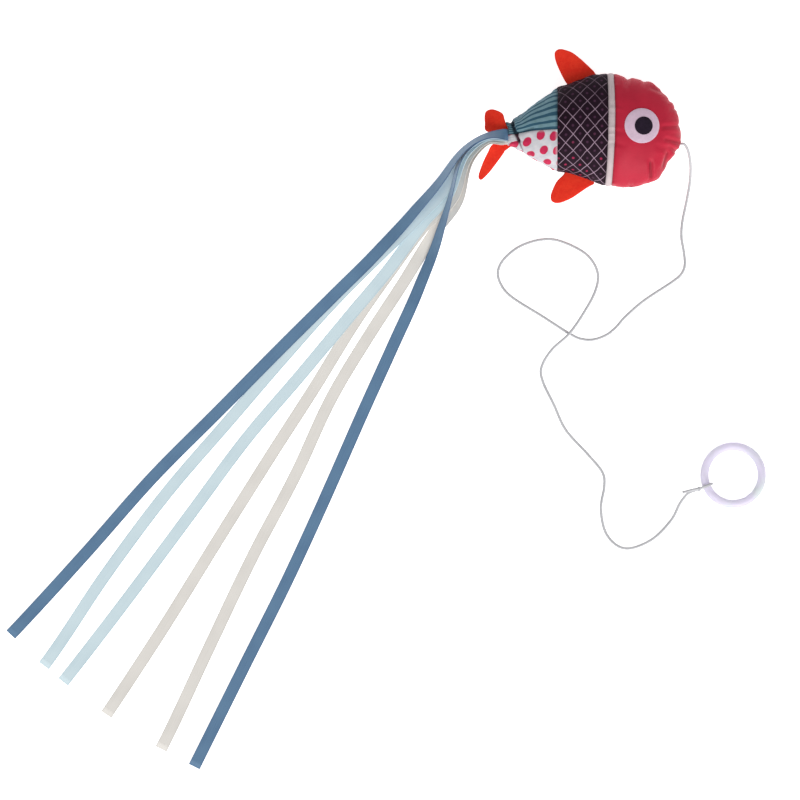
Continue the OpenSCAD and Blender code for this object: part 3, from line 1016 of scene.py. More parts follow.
@dataclass
class FishForm:
    """The sizes of the stuffed body."""

    half_height: float = 0.028
    half_thick: float = 0.017
    head_len: float = 0.03375
    band_width: float = 0.00325
    panel_len: float = 0.024
    tail_len: float = 0.0245
    rest_press: float = 0.0005
    nose_drop: float = 0.0025
    crown_power: float = 1.1
    back_shares: Sequence[float] = (1, 0.979, 0.918, 0.832, 0.732, 0.609, 0.477, 0.282, 0.098)
    belly_shares: Sequence[float] = (1, 0.94, 0.866, 0.796, 0.739, 0.645, 0.536, 0.411, 0.288)
    thick_shares: Sequence[float] = (0.95, 1.01, 1, 1, 0.958, 0.865, 0.71, 0.49, 0.22)
    brow_shares: Sequence[float] = (1, 0.95, 0.984, 1.015, 1.04, 1.065, 1.12, 1.2, 1.2, 1.15)
    chin_shares: Sequence[float] = (1, 1.02, 1.023, 1.055, 1.085, 0.91, 0.87, 0.97, 1.25, 1.25)

    @property
    def band_back(self) -> float:
        """Where the band meets the printed panel."""
        return self.panel_len / 2

    @property
    def head_x(self) -> float:
        """Where the head meets the band."""
        return self.band_back + self.band_width

    @property
    def tail_x(self) -> float:
        """Where the printed panel meets the tail panels."""
        return -self.panel_len / 2

    @property
    def tail_end(self) -> float:
        """Where the tail panels end."""
        return self.tail_x - self.tail_len

    @property
    def rest_height(self) -> float:
        """The height of the seam above the floor."""
        return self.half_thick - self.rest_press

    @property
    def heart(self) -> Vector:
        """The middle of the stuffing."""
        return Vector((5 * MM, 0, self.rest_height))

    def rear(self, x: float, zone: Zone) -> Station:
        """Gives the section at a place behind the head, in the cloth of a zone."""
        share = (self.band_back - x) / (self.panel_len + self.tail_len)
        return Station(x, self.half_height * along(self.back_shares, share),
                       -self.half_height * along(self.belly_shares, share),
                       self.half_thick * along(self.thick_shares, share), zone)

    def head(self, turn: float) -> Station:
        """Gives the section of the head at a turn from its seam, 0, to the nose, a right angle.

        Args:
            turn: the angle, in radians.

        Returns:
            The section.
        """
        share = turn / RIGHT_ANGLE
        tall = self.half_height * math.cos(turn)
        drop = -self.nose_drop * math.sin(turn) ** 2
        return Station(self.head_x + self.head_len * math.sin(turn),
                       drop + tall * along(self.brow_shares, share),
                       drop - tall * along(self.chin_shares, share),
                       self.half_thick * self.thick_shares[0] * math.cos(turn), Zone.HEAD)

    def edge(self, x: float, side: int) -> Vector:
        """Gives the upper (1) or lower (-1) edge of the body at a place behind the head."""
        station = self.rear(x, Zone.PANEL)
        return Vector((x, station.upper if side > 0 else station.lower))


@dataclass
class Skin:
    """The cloth of the whole body as one grid of points for each side."""

    form: FishForm
    head_rows: int = 66
    band_rows: int = 6
    panel_rows: int = 26
    tail_rows: int = 40
    half_columns: int = 46
    crowd: float = 0.62
    head_crowd: float = 0.35
    bow: float = 0.9
    groove: float = 0.16
    groove_width: float = 0.5
    pillow: float = 0.45
    lump: float = 0.35
    lump_size: float = 9.0
    head_pucker: float = 0.6
    pucker: float = 0.28
    ripple: float = 0.22
    pleat: float = 0.75
    band_swell: float = 0.35
    tail_bow: float = -0.5
    neck_reach: float = -0.7
    left_shift: float = 0.8
    creases: Sequence[Crease] = tuple(Crease(*row) for row in (
        (33.5, -16.4, 33.9, -23.6, 1.1, 0.9), (41.9, -11.8, 40.2, -18.2, 0.9, 1.1),
        (39.6, 1.0, 47.5, 1.6, 0.45, 1.1), (41.0, -4.9, 47.8, -6.4, 0.6, 1.0),
        (42.8, -8.2, 46.5, -10.8, 0.45, 0.9), (34.2, 20.4, 39.5, 18.0, 0.55, 1.1),
        (21.8, 21.6, 22.8, 25.8, 0.35, 1.2), (30.6, 22.0, 31.2, 24.8, 0.3, 1.2),
        (44.0, 9.8, 48.0, 10.8, 0.35, 1.1), (24.5, -24.5, 24.2, -29.0, 0.3, 1.2),
        (37.2, -8.6, 41.8, -9.6, 0.3, 1.3)))
    tucks: Sequence[Crease] = tuple(Crease(*row) for row in (
        (-35.6, 4.2, -32.0, -5.4, 1.25, 1.15), (-32.0, -5.4, -30.0, -10.8, 0.7, 0.8),
        (-33.2, -2.2, -24.5, 0.6, 0.4, 1.0)))
    notches: Sequence[Notch] = tuple(Notch(*row) for row in (
        (22.6, 26.0, 0.6), (31.0, 25.0, 0.15), (38.2, 19.8, -0.2), (34.4, 23.4, -0.9, 3.6),
        (43.2, 14.5, 0.35), (47.2, 9.0, 0.15), (48.6, 3.5, 0.3), (42.0, -17.2, -0.1),
        (40.6, -19.6, -1.3, 2.4), (47.2, -9.8, 0.6, 1.8), (27.0, -26.8, -1.5, 9.0),
        (49.0, -6.6, -0.4), (31.2, -27.6, 0.3), (24.6, -28.6, -0.2), (38.4, -23.6, -1.2, 2.2),
        (-10.6, 21.0, -1.0, 2.8), (-11.5, -19.6, -0.4, 3.0), (-23.5, 14.0, 0.95, 4.5),
        (-31.4, 7.2, -0.5, 1.8), (-36.8, 3.4, -1.8, 1.6), (-34.0, -8.4, -0.5, 2.0)))
    stations: list[Station] = field(init=False)
    angles: list[float] = field(init=False)
    seam_rows: dict[Zone, int] = field(init=False)
    points: dict[Side, np.ndarray] = field(init=False)
    cloth: dict[Side, np.ndarray] = field(init=False)
    seam_mm: dict[Side, np.ndarray] = field(init=False)
    folds: dict[Side, np.ndarray] = field(init=False)

    def __post_init__(self) -> None:
        """Places every point of the cloth."""
        form, half = self.form, self.half_columns
        rows = [form.head(t) for t in crowded(self.head_rows, RIGHT_ANGLE, 0.0, self.head_crowd)]
        spans = ((Zone.BAND, self.band_rows, form.head_x, form.band_back),
                 (Zone.PANEL, self.panel_rows, form.band_back, form.tail_x),
                 (Zone.TAIL, self.tail_rows, form.tail_x, form.tail_end))
        self.seam_rows = {}
        for zone, count, start, stop in spans:
            self.seam_rows[zone] = len(rows) - 1
            rows += [form.rear(x, zone) for x in crowded(count, start, stop, self.crowd)[1:]]
        self.stations = rows
        self.angles = (crowded(half, 0.0, RIGHT_ANGLE, self.crowd)
                       + crowded(half, RIGHT_ANGLE, math.pi, self.crowd)[1:])
        self.points, self.cloth, self.seam_mm, self.folds = {}, {}, {}, {}
        for side in Side:
            plain = self.plain(side)
            self.cloth[side], self.seam_mm[side] = self.measure(plain)
            self.points[side], self.folds[side] = self.worked(side, plain / MM)

    def plain(self, side: Side) -> np.ndarray:
        """Places the points of one side on the plain stuffed form.

        Args:
            side: the side of the fish.

        Returns:
            The points, by row and column.
        """
        rest, power, places = self.form.rest_height, self.form.crown_power, []
        swells = [math.sin(a) ** power if 0 < a < math.pi else 0.0 for a in self.angles]
        for station in self.stations:
            half = (station.upper - station.lower) / 2
            places.append([(station.x, station.middle + half * math.cos(angle),
                            rest + max(side.value * (station.thick * swell), -rest))
                           for angle, swell in zip(self.angles, swells)])
        return np.array(places)

    def measure(self, plain: np.ndarray) -> tuple[np.ndarray, np.ndarray]:
        """Measures the cloth.

        Args:
            plain: the points, by row and column.

        Returns:
            The place on the cloth and the distance from the nearest seam, in millimetres.
        """
        arc, run = run_along(plain, 1), run_along(plain, 0)
        up = arc[:, self.half_columns:self.half_columns + 1] - arc
        seam = np.minimum(arc, arc[:, -1:] - arc)
        for row in (*self.seam_rows.values(), len(plain) - 1):
            seam = np.minimum(seam, np.abs(run - run[row:row + 1]))
        start = self.seam_rows[Zone.TAIL]
        seam[start:] = np.minimum(seam[start:], np.abs(up[start:]))
        return np.stack([plain[:, :, 0], up], axis=2) / MM, seam / MM

    def worked(self, side: Side, points: np.ndarray) -> tuple[np.ndarray, np.ndarray]:
        """Adds the seams' pull, the stuffing's lumps and the folds.

        Args:
            side: the side of the fish.
            points: the points of the plain form, in millimetres.

        Returns:
            The finished points in metres, and how deep each is in a fold.
        """
        arc = run_along(points, 1)
        edge = np.minimum(arc, arc[:, -1:] - arc)
        points[:, :, :2] += self.outline_shift(points, edge)
        out = np.cross(np.gradient(points, axis=0), np.gradient(points, axis=1)) * side.value
        out /= np.maximum(np.linalg.norm(out, axis=2, keepdims=True), 1e-9)
        out[0] = (1.0, 0.0, 0.0)
        creases = {Zone.HEAD: self.creases, Zone.TAIL: self.tucks}
        shift = 0.0 if side is Side.RIGHT else self.left_shift
        relief, folds = np.zeros(edge.shape), np.zeros(edge.shape)
        for i, row in enumerate(points):
            for j, point in enumerate(row):
                fold = sum(crease.relief(float(point[0]) + shift, float(point[1]) - shift)
                           for crease in creases.get(self.stations[i].zone, ()))
                folds[i, j] = max(0.0, -fold)
                relief[i, j] = fold + self.relief(side, i, j, point, edge[i, j])
        points = points + out * relief[:, :, None]
        points[0] = points[0].mean(axis=0)
        return lifted(points * MM), folds

    def outline_shift(self, points: np.ndarray, edge: np.ndarray) -> np.ndarray:
        """Bows the head's seam and pulls the outline in at the notches.

        Args:
            points: the points, in millimetres.
            edge: their distance from the seam round the fish.

        Returns:
            How far each point moves along X and Y.
        """
        x, y = points[:, :, 0], points[:, :, 1]
        nape, nape_reach, front, near = 14.0, 9.0, 15.0, 12.0
        tall = self.form.half_height / MM
        bow = np.exp(-((x - nape) / nape_reach) ** 2) * (
            self.bow * (1 - (y / tall) ** 2) + y * 0.022 - 0.15)
        bow += self.tail_bow * np.exp(-((x - self.form.tail_x / MM) / 6.0) ** 2)
        bow += self.neck_reach * np.exp(-((x - self.form.tail_end / MM) / 4.0) ** 2)
        shift = np.stack([bow, np.zeros_like(bow)], axis=2)
        centre = np.array([22.0, -1.0])
        for notch in self.notches:
            spot = np.array([notch.x, notch.y])
            inward = (centre - spot) / np.linalg.norm(centre - spot)
            away = points[:, :, :2] - spot
            sideways = away[:, :, 0] * inward[1] - away[:, :, 1] * inward[0]
            pull = (notch.depth * np.exp(-(sideways / notch.width) ** 2)
                    * np.exp(-edge / notch.reach) * ((away @ inward) < near)
                    * ((x > front) == (notch.x > front)))
            shift += pull[:, :, None] * inward
        return shift

    def relief(self, side: Side, i: int, j: int, point: np.ndarray, edge: float) -> float:
        """Gives how far the worked cloth stands out from the plain form.

        Args:
            side: the side of the fish.
            i, j: the point's row and column.
            point: its place in space, in millimetres.
            edge: its distance from the seam round the fish.

        Returns:
            The height in millimetres.
        """
        zone, seam = self.stations[i].zone, self.seam_mm[side][i, j]
        x, y, up = float(point[0]), float(point[1]), float(self.cloth[side][i, j, 1])
        key = 5.0 * side.value
        height = -self.groove * math.exp(-((seam / self.groove_width) ** 1.5))
        height += self.pillow * (1 - math.exp(-seam / 2.6)) - self.pillow * 0.5
        height += self.lump * noise.noise(Vector((x / self.lump_size, y / self.lump_size, key)))
        strong = self.head_pucker if zone is Zone.HEAD else self.pucker
        along_edge = math.atan2(y, x - 20.0) * 30.0 if zone is Zone.HEAD else x
        pucker = abs(noise.noise(Vector((along_edge / 2.7, key, 1.0 if y > 0 else 7.0))))
        height -= strong * (0.5 - pucker) * math.exp(-edge / 3.2) * min(edge / 0.6, 1.0)
        if zone in (Zone.HEAD, Zone.PANEL):
            ring = noise.noise(Vector((up / 2.2, key, 3.0)))
            height += self.ripple * ring * math.exp(-seam / 2.4)
        if zone is Zone.TAIL:
            back = x - self.form.tail_end / MM
            pleat = noise.noise(Vector((up * 0.9, key, 11.0)))
            height += self.pleat * pleat * math.exp(-back / 6.0) * min(back / 1.2, 1.0)
        if zone is Zone.BAND:
            height += self.band_swell * min(seam / 1.2, 1.0)
        return height


def lifted(points: np.ndarray) -> np.ndarray:
    """Lifts what would be under the floor to just above it."""
    points[:, :, 2] = np.maximum(points[:, :, 2], 0.02 * MM)
    return points


def sampled(grid: np.ndarray, rows: np.ndarray, columns: np.ndarray) -> np.ndarray:
    """Reads a grid of points between its rows and columns.

    Args:
        grid: the points, by row and column.
        rows, columns: the places to read, counted in rows and in columns.

    Returns:
        The points at every pair of those places.
    """
    top = np.minimum(rows.astype(int), len(grid) - 2)
    left = np.minimum(columns.astype(int), grid.shape[1] - 2)
    down, over = (rows - top)[:, None, None], (columns - left)[None, :, None]
    upper = grid[top][:, left] * (1 - over) + grid[top][:, left + 1] * over
    lower = grid[top + 1][:, left] * (1 - over) + grid[top + 1][:, left + 1] * over
    return upper * (1 - down) + lower * down


@dataclass
class Inflation:
    """The cloth simulation that blows the sewn cover up, so that it puckers at its seams.

    The solver is made for people's clothes, so the cover is simulated at many times its
    size, on an even and coarser grid, and only how far each point moved is kept."""

    skin: Skin
    spacing: float = 1.6 * MM
    size: float = 20.0
    pressure: float = 4.0
    growth: float = 0.04
    frames: int = 20
    most: float = 0.7 * MM
    cross_grip: float = 0.6

    def run(self) -> None:
        """Simulates the cover and moves the points of the skin as the cloth moved."""
        skin, fine = self.skin, self.skin.points[Side.RIGHT]
        rows = self.evenly(fine[:, skin.half_columns])
        columns = self.evenly(fine[skin.seam_rows[Zone.PANEL]])
        rest = {side: sampled(skin.points[side], rows, columns) for side in Side}
        shifts = self.simulate(rest, rows)
        back_rows = np.interp(np.arange(len(fine)), rows, np.arange(len(rows)))
        back_columns = np.interp(np.arange(fine.shape[1]), columns, np.arange(len(columns)))
        for side in Side:
            length = np.linalg.norm(shifts[side], axis=2, keepdims=True)
            log.info("cloth moved %.2f mm, at most %.2f mm", length.mean() / MM,
                     length.max() / MM)
            shift = shifts[side] / np.sqrt(1 + (length / self.most) ** 2)
            skin.points[side] = lifted(skin.points[side]
                                       + sampled(shift, back_rows, back_columns))

    def evenly(self, line: np.ndarray) -> np.ndarray:
        """Finds even steps along a line of points.

        Args:
            line: the points.

        Returns:
            The places of the steps, counted in points.
        """
        run = run_along(line, 0)
        count = max(8, round(run[-1] / self.spacing))
        return np.interp(np.linspace(0, run[-1], count + 1), run, np.arange(len(run)))

    def simulate(self, rest: dict[Side, np.ndarray], rows: np.ndarray) -> dict[Side, np.ndarray]:
        """Runs the solver on the whole cover.

        Args:
            rest: the points of both sides at the start.
            rows: the rows of the skin that the grid's rows stand for.

        Returns:
            How far each point moved.
        """
        half = rest[Side.RIGHT].shape[1]
        rings = ringed(rest[Side.RIGHT], rest[Side.LEFT]) * self.size
        count, wide = rings.shape[:2]
        grid = Grid(count, wide, (NUMBER_MARK, GRIP_MARK))
        grid.place(lambda i, j: rings[i, j])
        grid.mark(NUMBER_MARK, lambda i, j: float(i * wide + j))
        outline = (0, half - 1, wide - 1)
        seams = [int(np.argmin(np.abs(rows - row))) for row in self.skin.seam_rows.values()]

        def grip(i: int, j: int) -> float:
            """Gives how firmly a point is held: the outer seam fully, the others less."""
            if j in outline or i in (0, count - 1):
                return 1.0
            return self.cross_grip if i in seams else 0.0

        grid.mark(GRIP_MARK, grip)
        grid.close_rows()
        grid.gather(0, grid.points[0][0].co)
        bmesh.ops.recalc_face_normals(grid.mesh, faces=grid.mesh.faces)
        moved = (self.settle(grid.mesh, rings) - rings) / self.size
        return {Side.RIGHT: moved[:, :half], Side.LEFT: moved[:, half - 1:][:, ::-1]}

    def settle(self, mesh: Mesh, rings: np.ndarray) -> np.ndarray:
        """Lets the cloth solver move the cover.

        Args:
            mesh: the cover, which is used up.
            rings: its points by row and column.

        Returns:
            The points after the last frame, by row and column.
        """
        marks = mesh.verts.layers.float
        numbers = [round(vert[marks[NUMBER_MARK]]) for vert in mesh.verts]
        grips = [vert[marks[GRIP_MARK]] for vert in mesh.verts]
        data, scene = kept("cover", mesh), bpy.context.scene
        cover = stand("cover", data)
        group = cover.vertex_groups.new(name="grip")
        for number, grip in enumerate(grips):
            group.add([number], grip, "REPLACE")
        solver = cover.modifiers.new("cloth", "CLOTH")
        cloth = solver.settings
        cloth.quality, cloth.mass, cloth.air_damping = 6, 0.3, 2.0
        cloth.tension_stiffness = cloth.compression_stiffness = 30.0
        cloth.bending_stiffness = 0.3
        cloth.use_pressure, cloth.uniform_pressure_force = True, self.pressure
        cloth.shrink_min = cloth.shrink_max = -self.growth
        cloth.vertex_group_mass, cloth.pin_stiffness = group.name, 1.0
        cloth.effector_weights.gravity = 0.0
        solver.collision_settings.use_collision = False
        solver.point_cache.frame_start, solver.point_cache.frame_end = 1, self.frames
        for frame_number in range(1, self.frames + 1):
            scene.frame_set(frame_number)
        made = cover.evaluated_get(bpy.context.evaluated_depsgraph_get()).to_mesh()
        moved, wide = rings.copy(), rings.shape[1]
        for number, vert in zip(numbers, made.vertices):
            moved[number // wide, number % wide] = vert.co
        moved[:, -1] = moved[:, 0]
        moved[0] = moved[0, 0]
        bpy.data.objects.remove(cover)
        bpy.data.meshes.remove(data)
        scene.frame_set(1)
        return moved


@dataclass
class SewnPanel:
    """One cut of cloth, with its edges turned in at the seams."""

    skin: Skin
    name: str
    finish: Finish
    rows: tuple[int, int]
    columns: tuple[int, int]
    side: Side
    thick: float = 0.00045
    hem: float = 0.0011
    sharp: float = 0.7

    def build(self) -> Piece:
        """Cuts the panel out of the skin, turns its edges in and thickens it.

        Returns:
            The finished piece.
        """
        (top, bottom), (left, right), skin = self.rows, self.columns, self.skin
        points, cloth, seam, folds = (
            whole[self.side][top:bottom + 1, left:right + 1]
            for whole in (skin.points, skin.cloth, skin.seam_mm, skin.folds))
        turns = np.broadcast_to(skin.angles[left:right + 1], seam.shape) / RIGHT_ANGLE
        marks = {SEAM_MARK: seam, TURN_MARK: turns, FOLD_MARK: folds}
        grid = Grid(*seam.shape, marks)
        grid.place(lambda i, j: points[i, j])
        grid.lay_map(lambda i, j: tuple(cloth[i, j]))
        for name, values in marks.items():
            grid.mark(name, lambda i, j: float(values[i, j]))
        grid.mesh.normal_update()
        if grid.points[len(seam) // 2][len(seam[0]) // 2].normal.z * self.side.value < 0:
            bmesh.ops.reverse_faces(grid.mesh, faces=grid.mesh.faces)
        if top == 0:
            grid.gather(0, grid.points[0][0].co)
        self.turn_in(grid)
        piece = Piece(self.name, self.finish).build(grid.mesh)
        solid = piece.made.modifiers.new("thickness", "SOLIDIFY")
        solid.thickness, solid.offset, solid.use_even_offset = self.thick, -1.0, False
        piece.refine()
        return piece

    def turn_in(self, grid: Grid) -> None:
        """Turns the open edges of the cloth towards the stuffing, with a pressed fold.

        Args:
            grid: the panel's mesh.
        """
        mesh, heart = grid.mesh, self.skin.form.heart
        mesh.normal_update()
        rim = [edge for edge in mesh.edges if edge.is_boundary]
        normals = {}
        for edge in rim:
            edge[grid.sharp] = self.sharp
            for vert in edge.verts:
                normals[tuple(vert.co)] = vert.normal.copy()
        made = bmesh.ops.extrude_edge_only(mesh, edges=rim)["geom"]
        for vert in (item for item in made if isinstance(item, bmesh.types.BMVert)):
            inward = (heart - vert.co).normalized() - normals[tuple(vert.co)]
            vert.co += inward.normalized() * self.hem
            vert.co.z = max(vert.co.z, 0.2 * MM)


@dataclass
class SewnBody:
    """The stuffed body: ten cuts of cloth round a core of fibre."""

    form: FishForm
    core_depth: float = 1.3 * MM
    skin: Skin = field(init=False)
    head: dict[Side, Piece] = field(init=False)

    def build(self) -> None:
        """Makes every cut of cloth and the stuffing."""
        self.skin = Skin(self.form)
        Inflation(self.skin).run()
        band, panel, tail = self.skin.seam_rows.values()
        end, middle = len(self.skin.stations) - 1, self.skin.half_columns
        last = 2 * middle
        cuts = (
            ("head", Finishes.HEAD, (0, band), (0, last)),
            ("band", Finishes.BAND, (band, panel), (0, last)),
            ("body_panel", Finishes.LATTICE, (panel, tail), (0, last)),
            ("back_panel", Finishes.STRIPES, (tail, end), (0, middle)),
            ("belly_panel", Finishes.DOTS, (tail, end), (middle, last)),
        )
        self.head = {}
        for side in Side:
            for name, finish, rows, columns in cuts:
                piece = SewnPanel(self.skin, f"{name}_{side.name.lower()}", finish, rows,
                                  columns, side).build()
                if name == "head":
                    self.head[side] = piece
        self.fill()

    def fill(self) -> None:
        """Makes the core of fibre inside the cloth."""
        heart, depth = self.form.heart, self.core_depth
        rings = ringed(*(self.skin.points[side][1::2, ::2] for side in Side))

        def spot(i: int, j: int) -> Vector:
            """Draws one point of the cloth in towards the middle of its own section.

            Args:
                i, j: the point's row and column.

            Returns:
                Its place.
            """
            place = Vector(rings[i, j])
            inward = Vector((place.x, rings[i, :, 1].mean(), heart.z)) - place
            pull = min(depth, inward.length * 0.8)
            wobble = 1 + 0.25 * noise.noise(place * 160)
            ahead = (heart - place).normalized()
            return place + inward.normalized() * pull * wobble + ahead * depth * 0.4

        core = Grid(*rings.shape[:2]).wrap(spot, lambda i, j: (float(j), float(i)))
        piece = Piece("stuffing", Finishes.FILLING).build(core)


@dataclass
class Eyes:
    """The two felt patches of each eye, laid on the cheek."""

    form: FishForm
    radius: float = 8.75 * MM
    pupil: float = 4.5 * MM
    ahead: float = 14.209 * MM
    up: float = 1.6 * MM
    pupil_ahead: float = 0.85 * MM
    gap: float = 0.06 * MM
    white_thick: float = 0.42 * MM
    pupil_thick: float = 0.34 * MM
    rings: int = 9
    sides: int = 72

    def build(self, head: dict[Side, Piece]) -> None:
        """Lays both patches on both cheeks.

        Args:
            head: the piece of head cloth on each side.
        """
        bpy.context.view_layer.update()
        seen = bpy.context.evaluated_depsgraph_get()
        x = self.form.head_x + self.ahead
        patches = (("eye_white", Finishes.EYE_WHITE, x, self.radius, self.gap, self.white_thick),
                   ("pupil", Finishes.PUPIL, x + self.pupil_ahead, self.pupil,
                    self.gap + self.white_thick, self.pupil_thick))
        for side, cheek in head.items():
            tree = BVHTree.FromObject(cheek.made, seen)
            for name, finish, middle, radius, low, thick in patches:
                mesh = self.patch(tree, side, Vector((middle, self.up)), radius, low, thick)
                Piece(f"{name}_{side.name.lower()}", finish).build(mesh).refine()

    def patch(self, tree: BVHTree, side: Side, centre: Vector, radius: float, low: float,
              thick: float) -> Mesh:
        """Makes one patch that follows the cheek.

        Args:
            tree: the cheek's surface.
            side: the side of the fish.
            centre: the patch's middle along X and Y.
            radius: its radius.
            low: how far its underside is above the cheek.
            thick: its thickness.

        Returns:
            The mesh.
        """
        shares = [i / self.rings for i in range(self.rings)]
        levels = [(radius * share, low + thick * (1.0 - 0.12 * share ** 4)) for share in shares]
        levels += [(radius * 0.985, low + thick * 0.72), (radius, low + thick * 0.4),
                   (radius * 0.992, low + thick * 0.1)]
        levels += [(radius * share, low) for share in (0.9, 0.6, 0.3)]

        def spot(i: int, j: int) -> Vector:
            """Drops one point onto the cheek.

            Args:
                i, j: the point's row and column.

            Returns:
                Its place.
            """
            angle = CIRCLE * j / self.sides
            reach, lift = levels[i]
            reach *= 1 + 0.006 * noise.noise(Vector((math.cos(angle) * 3, math.sin(angle) * 3,
                                                     radius * 900)))
            x, y = centre.x + reach * math.cos(angle), centre.y + reach * math.sin(angle)
            return self.on_cheek(tree, side, x, y, lift)

        return Grid(len(levels), self.sides + 1).wrap(
            spot, lambda i, j: (levels[i][0] / MM, float(j)),
            ((0, self.on_cheek(tree, side, centre.x, centre.y, low + thick)),))

    def on_cheek(self, tree: BVHTree, side: Side, x: float, y: float, lift: float) -> Vector:
        """Gives the place above the cheek at X and Y.

        Args:
            tree: the cheek's surface.
            side: the side of the fish.
            x, y: the place seen from above.
            lift: the distance from the cheek.

        Returns:
            The place.
        """
        way = Vector((0, 0, side.value))
        start = Vector((x, y, self.form.rest_height)) + way * 0.06
        hit, normal, _, _ = tree.ray_cast(start, -way)
        if hit is None:
            hit, normal, _, _ = tree.find_nearest(Vector((x, y, self.form.rest_height)))
        if normal.dot(way) < 0:
            normal = -normal
        place = hit + (way * 0.7 + normal * 0.3).normalized() * lift
        place.z = max(place.z, 0.03 * MM)
        return place


# --- Fins ---


@dataclass
class FeltFlap:
    """A flat felt fin whose root is caught in a seam."""

    name: str
    outline: Sequence[tuple[float, float]]
    size: tuple[float, float]
    place: Vector
    along: Vector
    out: Vector
    body: Body
    root_depth: float
    root_span: tuple[float, float]
    bend: tuple[float, float]
    felt: float = 0.0019
    curl: float = 0.0006
    steps: int = 64
    rings: int = 9

    def ring(self) -> list[Vector]:
        """Gives the outline in the felt's own plane, with the part inside the seam.

        Returns:
            The points: along the root, and out from it.
        """
        corners = [Vector((x, y)) for x, y in self.outline]
        start, end = (Vector((x, -self.root_depth / self.size[1])) for x in self.root_span)
        if corners[0].x < corners[-1].x:
            start, end = end, start
        edge = [along(corners, i / self.steps) for i in range(self.steps + 1)]
        first, last, shares = edge[0], edge[-1], (0.2, 0.5, 0.8)
        edge += [last.lerp(start, share) for share in shares]
        edge += [start.lerp(end, i / 6) for i in range(7)]
        edge += [end.lerp(first, share) for share in shares]
        return [Vector((p.x * self.size[0], p.y * self.size[1])) for p in edge]

    def build(self, height: float) -> None:
        """Makes the fin as a crowned pad with a rolled edge.

        Args:
            height: the height of its middle plane above the floor.
        """
        rim, half = self.ring(), self.felt / 2
        centre = sum(rim, Vector((0, 0))) / len(rim)
        shares = [i / self.rings for i in range(1, self.rings)]
        levels = [(share, half * (1.0 - 0.22 * share ** 3)) for share in shares]
        levels += [(0.96, half * 0.74), (0.99, half * 0.5), (1.0, 0.0), (0.99, -half * 0.5),
                   (0.96, -half * 0.74)]
        levels += [(share, -lift) for share, lift in reversed(levels[:self.rings - 1])]
        reach = max(p.y for p in rim)

        def spot(i: int, j: int) -> Vector:
            """Places one point of the fin in space.

            Args:
                i, j: the point's row and column.

            Returns:
                Its place.
            """
            share, lift = levels[i]
            flat = centre.lerp(rim[j % len(rim)], share)
            flat = flat + (flat - centre) * 0.006 * noise.noise(Vector((flat.x, flat.y, 0)) * 900)
            wave = self.curl * (max(flat.y, 0.0) / reach) ** 2 * math.sin(flat.x * 260 + 0.6)
            place = self.place + self.along * flat.x + self.out * flat.y
            return Vector((place.x, place.y, height + lift + wave))

        middle = spot(0, 0).lerp(spot(0, len(rim) // 2), 0.5)
        ends = [(row, (middle.x, middle.y, height + lift))
                for row, lift in ((0, half), (-1, -half))]
        mesh = Grid(len(levels), len(rim) + 1).wrap(
            spot, lambda i, j: (levels[i][0], float(j)), ends)
        piece = Piece(self.name, Finishes.FINS, None).build(mesh)
        piece.refine()
        start, end = ((*(self.place + self.out * off), height) for off in self.bend)
        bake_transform(piece.made, Body.ROOT.value, self.body.value, start=start, end=end)


